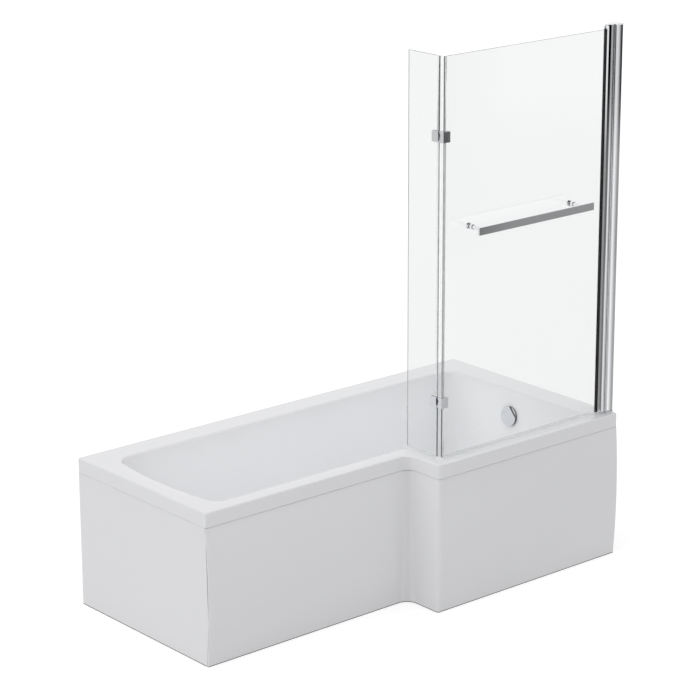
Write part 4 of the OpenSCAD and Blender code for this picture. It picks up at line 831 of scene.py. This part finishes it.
# Heights of the disc's back and front over the wall, its radius and its edge's, and where it steps
z0, z1, disc_r, edge_r, step_at = 3.3, 11.9, 36.0, 1.4, 27.0
rim = np.radians(np.linspace(90, 0, 9))[:, None]
disc = np.concatenate([
    [[1, z1], [20, z1]],
    [disc_r - edge_r, z1 - edge_r] + edge_r * np.concatenate([np.cos(rim), np.sin(rim)], 1),
    [[disc_r, 8], [disc_r, 2.4], [35.6, 2], [33.9, 2], [33.5, 2.4], [33.5, z1 - 6.4],
     [33.1, z1 - 6], [9, z1 - 6], [9, z0 + 0.3], [8.7, z0], [4, z0], [4, z1 - 2.5]]])
points, faces = turned(disc)
step = np.array([[x, y, z] for x in (step_at, 60.0) for y in (-60.0, 60.0)
                 for z in (z1 - 4, 40.0)])
turn = math.radians(-45)
step = step @ np.array([[math.cos(turn), math.sin(turn), 0],
                        [-math.sin(turn), math.cos(turn), 0], [0, 0, 1]])
box_faces = [[0, 1, 3, 2], [4, 6, 7, 5], [0, 4, 5, 1], [2, 3, 7, 6], [0, 2, 6, 4], [1, 5, 7, 3]]
knob = cut(solid("knob_turned", points @ on_wall.T + overflow_at, faces),
           solid("step", step @ on_wall.T + overflow_at, box_faces))
facing = of_faces(knob, "normal") @ on_wall
middles = (of_faces(knob, "center") * 1000 - overflow_at) @ on_wall
upwards = [math.cos(turn), math.sin(turn), 0]
riser = (facing @ upwards > 0.98) & (np.abs(middles @ upwards - step_at) < 0.2)
side_band = (np.hypot(*middles[:, :2].T) > disc_r - 0.3) & (np.abs(facing[:, 2]) < 0.3)
# The riser and the edge band get the painted dark reflection
piece(knob, "knob", [chrome, painted_dark_chrome], ["overflow_knob"], riser | side_band,
      edge=0.5, sharp=40)


# ---- Hose and cable ----
# Ribbed hose blown from soft plastic, pushed over spigots at both ends, and the sheathed cable
# beside it. Both lie along smooth curves behind the end wall.
def tube(centre, direction, side, radius, n):
    """Rings of n points round a path: centre plus radius times the cosine of an angle along one
    square direction and its sine along the other."""
    u = np.cross(side, direction)
    u /= np.linalg.norm(u, axis=-1, keepdims=True)
    v = np.cross(direction, u)
    t = np.linspace(0, 2 * math.pi, n, endpoint=False)[None, :, None]
    ring = np.cos(t) * u[:, None] + np.sin(t) * v[:, None]
    return centre[:, None] + radius[:, None, None] * ring


bend, hose_x, hose_top = 95.0, overflow_at[0] + 34, overflow_z - 40
hose_z, hose_end = 78.0, waste[0] + 36
drop, quarter_len = hose_top - hose_z - bend, bend * math.pi / 2
length = drop + quarter_len + hose_x - bend - hose_end
# Smooth cuffs at both ends, ribs between them
cuff, rib_pitch, rib_d, hose_r, hose_inner_r = 42.8, 8, 2.4, 19.0, 17.2
s = np.concatenate([np.linspace(0, cuff, 12), np.arange(cuff, length - cuff, 0.8)[1:],
                    np.linspace(length - cuff, length, 12)])
t = np.clip(s - drop, 0, quarter_len) / bend
centre = np.stack([hose_x - bend * (1 - np.cos(t)) - np.clip(s - drop - quarter_len, 0, None),
                   np.full_like(s, waste[1]),
                   hose_top - np.minimum(s, drop) - bend * np.sin(t)], 1)
direction = np.stack([-np.sin(t), 0 * t, -np.cos(t)], 1)
ribbed = (s > cuff) & (s < length - cuff)
wave = np.where(ribbed, (0.5 - 0.5 * np.cos((s - cuff) / rib_pitch * 2 * math.pi)) ** 0.6, 0)
sideways = [0.0, 1.0, 0.0]
hose = np.concatenate([tube(centre, direction, sideways, hose_r + rib_d * wave, 32),
                       tube(centre[::-1][::6], direction[::-1][::6], sideways,
                            np.full(len(s[::6]), hose_inner_r), 32)])
piece(solid("hose_ribbed", hose, grid(len(hose), 32, True)), "bath", [white_plastic],
      ["overflow_hose"], sharp=60)

route = np.array([[580, 54, 81], [580, 72, 81], [583, 82, 82], [593, 97, 84], [610, 106, 87],
                  [640, 107, 90], [670, 103, 94], [700, 96, 100], [728, 86, 112],
                  [748.25, 75, 133], [760.25, 64, 165], [766.25, 55, 205], [769.25, 50, 250],
                  [772.25, 47, 300], [772.25, 45, 345], [772.25, 45, 397.0]])
# A smooth curve through the route: between two points a cubic whose slope at each is half of the
# way from the point before it to the point after it
ends = np.concatenate([2 * route[:1] - route[1:2], route, 2 * route[-1:] - route[-2:-1]])
t = np.linspace(0, 1, 8, endpoint=False)[None, :, None]
a, b, c, d = [ends[k:len(ends) - 3 + k, None] for k in range(4)]
smooth = 0.5 * (2 * b + (c - a) * t + (2 * a - 5 * b + 4 * c - d) * t ** 2
                + (3 * b - 3 * c + d - a) * t ** 3)
smooth = np.concatenate([smooth.reshape(-1, 3), route[-1:]])
heads = np.gradient(smooth, axis=0)
heads /= np.linalg.norm(heads, axis=1, keepdims=True)
sheath_r = 2.5
sheath = tube(smooth, heads, [1.0, -1.0, 0.0], np.full(len(smooth), sheath_r), 16)
piece(lofted("cable_sheath", sheath), "bath", [rubber], ["pull_cable"])


# ---- Wall post ----
# Polished aluminium extrusions: a channel screwed to the wall, a box profile that slides in it and
# cradles the round post, and cast end caps with the pivot pins.
def bow(centre, radius, start, end, count):
    """Points along an arc, angles in degrees: the centre plus the radius times cosine and sine."""
    t = np.radians(np.linspace(start, end, count))
    return np.stack([centre[0] + radius * np.cos(t), centre[1] + radius * np.sin(t)], 1)


def prism(name, loops, z0, z1):
    """Mesh of an outline and the holes in it, drawn out along z. Their y starts at the pane."""
    loops = [np.asarray(loop, float) + [0, glass_y] for loop in loops]
    points, faces, first = [], [], 0
    for loop in loops:
        n = len(loop)
        points += [np.column_stack([loop, np.full(n, z)]) for z in (z0, z1)]
        faces += (grid(2, n) + first).tolist()
        first += 2 * n
    if len(loops) == 1:
        n = len(loops[0])
        faces += [list(range(n)), list(range(n, 2 * n))]
    else:
        place = np.concatenate([np.arange(len(k)) + 2 * sum(len(j) for j in loops[:i])
                                for i, k in enumerate(loops)])
        after = np.concatenate([np.full(len(k), len(k)) for k in loops])
        for tri in tessellate_polygon([[Vector((*p, 0)) for p in k] for k in loops]):
            tri = np.array(tri)
            faces += [place[tri].tolist(), (place[tri] + after[tri])[::-1].tolist()]
    mesh = bpy.data.meshes.new(name)
    mesh.from_pydata((np.concatenate(points) * 0.001).tolist(), [], faces)
    work = bmesh.new()
    work.from_mesh(mesh)
    bmesh.ops.recalc_face_normals(work, faces=work.faces)
    work.to_mesh(mesh)
    work.free()
    return mesh


glass_y, pivot_x = -365.0, 804.0
z_low, z_high = 529.0, 1892.0
# The channel's sides fall off with the square of the way from a ridge, just before their front
side_x, side_len, side_y, side_fall, to_ridge = 818.0, 32.0, 18.0, 0.9, 8.0
turn_y, turn_r, base_x, inner_y = 13.82, 4.0, 848.0, 16.0
crown = np.linspace(0, side_len, 17)
crown = np.stack([side_x + crown, side_y - side_fall * ((crown + to_ridge) / side_len) ** 2], 1)
channel = np.concatenate([
    bow((side_x, -turn_y), turn_r, 210, 266, 9), crown * [1, -1], crown[::-1],
    bow((side_x, turn_y), turn_r, 94, 150, 9), [[base_x, inner_y], [base_x, -inner_y]]])
piece(prism("channel_drawn", [channel], z_low, z_high), "bath", [profile], ["wall_channel"],
      edge=0.35)
# The jamb is a box hollowed by an arc round the post, which starts where the box's front begins
jamb_x, jamb_back, jamb_y, jamb_t = 814.0, 838.0, inner_y - 0.05, 2.0
cradle_r, post_r, bore_r = 15.4, 15.0, 8.0
reach = math.degrees(math.acos((jamb_x - pivot_x) / cradle_r))
jamb = np.concatenate([[[jamb_back, -jamb_y], [jamb_back, jamb_y], [jamb_x, jamb_y]],
                       bow((pivot_x, 0), cradle_r, reach, -reach, 25), [[jamb_x, -jamb_y]]])
near, far, half = pivot_x + cradle_r + jamb_t, jamb_back - jamb_t, jamb_y - jamb_t
hollow = [[near, -half], [far, -half], [far, half], [near, half]]
piece(prism("jamb_drawn", [jamb, hollow], z_low, z_high), "bath", [profile], ["pivot_jamb"],
      edge=0.35)
dressed("jamb_screws", [zinc], 0.4, 40)
dressed("bottom_cap", [chrome], 0.8, 40)
dressed("top_cap", [chrome], 0.8, 40)

# The turning post holds the main pane in a black gasket; nylon bushes turn on the caps' pins
cheek_y, slot_y, pane_y = 8.5, 4.2, 3.0
nose = math.degrees(math.asin(cheek_y / post_r))
post = np.concatenate([bow((pivot_x, 0), post_r, nose - 180, 180 - nose, 81), np.array([
    [-21, cheek_y], [-21, slot_y], [-10.5, slot_y], [-10.5, -slot_y], [-21, -slot_y],
    [-21, -cheek_y]]) + [pivot_x, 0]])
bore = bow((pivot_x, 0), bore_r, 0, 352.5, 48)
piece(prism("post_drawn", [post, bore], z_low + 0.3, z_high), "screen", [profile],
      ["pivot_post"], edge=0.3)
gasket = np.array([[-26, pane_y], [-26, 5.2], [-21, 5.2], [-21, slot_y], [-10.5, slot_y],
                   [-10.5, -slot_y], [-21, -slot_y], [-21, -5.2], [-26, -5.2], [-26, -pane_y],
                   [-11.5, -pane_y], [-11.5, pane_y]])
piece(prism("gasket_drawn", [gasket + [pivot_x, 0]], 533, 1880), "screen", [rubber],
      ["glazing_gasket"], edge=0.4)
dressed("post_bushes", [white_plastic], 0.3, 40)


# ---- Panes ----
# Toughened clear glass, 6 mm, with ground and polished edges that look darker than the faces,
# and drilled holes for hinges and rail posts. Rolled glass has slow, faint waves.
def clear(name, tint, rough, wave, shadow, detail=False, through=1.0):
    """Clear glass that lets lamp light through. Where through is under 1, the rest is solid."""
    g, at = material(name)
    slow = g.noise(at, 4.0, 1.0)
    fine = g.noise(g.stretched(at, (500.0, 500.0, 30.0)), 1.0, 2.0) if detail else slow
    pane = g.node("BsdfPrincipled", {}, {
        "Base Color": tint, "Roughness": fine * 0.1 + (rough - 0.05) if detail else rough,
        "IOR": 1.5, "Transmission Weight": through, "Normal": g.bump(fine, wave, 0.4)})
    open_air = g.node("BsdfTransparent", {}, {"Color": shadow})
    lamp_ray = g.math("MAXIMUM", g.node("LightPath", output="Is Shadow Ray"),
                      g.node("LightPath", output="Is Diffuse Ray"))
    g.node("OutputMaterial", {}, {"Surface": g.node("MixShader", {}, {
        0: lamp_ray, 1: pane, 2: open_air})})
    return g.owner


glass = clear("clear glass", (0.975, 0.985, 0.982), 0.0, 0.00006, (0.95, 0.96, 0.96))
ground = clear("ground glass edge", (0.07, 0.09, 0.085), 0.20, 0.0001, (0.5, 0.55, 0.54), True,
               0.3)
flat_edge = clear("polished glass edge", (0.86, 0.90, 0.89), 0.08, 0.0001, (0.7, 0.75, 0.74),
                  True)
for node, across_pane in (("main_glass", 1), ("return_glass", 0)):
    pane = dressed(node, [glass, ground, flat_edge], 0.6, 40)
    normals = np.abs(of_faces(pane.data, "normal"))
    kind = np.where(normals[:, across_pane] > 0.7, 0, np.where(normals[:, 2] > 0.7, 2, 1))
    pane.data.polygons.foreach_set("material_index", kind.astype(np.int32))

# Clear seals: a wiper under each pane and a soft bulb down the corner between them
g, at = material("clear soft plastic")
drawn = g.noise(g.stretched(at, (900.0, 900.0, 30.0)), 1.0, 2.0)
cloud = g.noise(at, 25.0, 3.0)
seal = g.finish({
    "Base Color": g.mix(cloud, (0.88, 0.90, 0.91), (0.93, 0.94, 0.95)),
    "Roughness": 0.16 + cloud * 0.1, "IOR": 1.46, "Alpha": 0.09 + cloud * 0.06,
    "Normal": g.bump(drawn, 0.00005)})
for node in ("main_bottom_seal", "return_bottom_seal", "main_edge_seal", "return_edge_seal"):
    dressed(node, [seal], 0.2, 40)


# ---- Hinges ----
# Cast and polished leaves in pairs, two pairs above one another. Each leaf is clamped through its
# pane on rubber pads with plated bolts, and the leaves of a pair turn on a steel pin.
for node in ("upper_main_leaf", "lower_main_leaf", "upper_return_leaf", "lower_return_leaf"):
    dressed(node, [chrome], 0.7, 40)
for node in ("main_leaf_pads", "return_leaf_pads"):
    dressed(node, [rubber], 0.2, 40)
for node in ("main_leaf_bolts", "return_leaf_bolts"):
    dressed(node, [zinc], 0.25, 40)
finished("hinge_pins", zinc)


# ---- Towel rail ----
# A flat chromed bar on two turned posts; their collars and the domed caps on the bath side clamp
# the glass between clear washers.
dressed("towel_rail", [chrome], 0.8, 40)
dressed("rail_posts", [chrome], 0.6, 40)
dressed("rail_caps", [chrome], 0.4, 40)
dressed("rail_washers", [seal])
dressed("rail_bolts", [zinc], 0.3, 40)
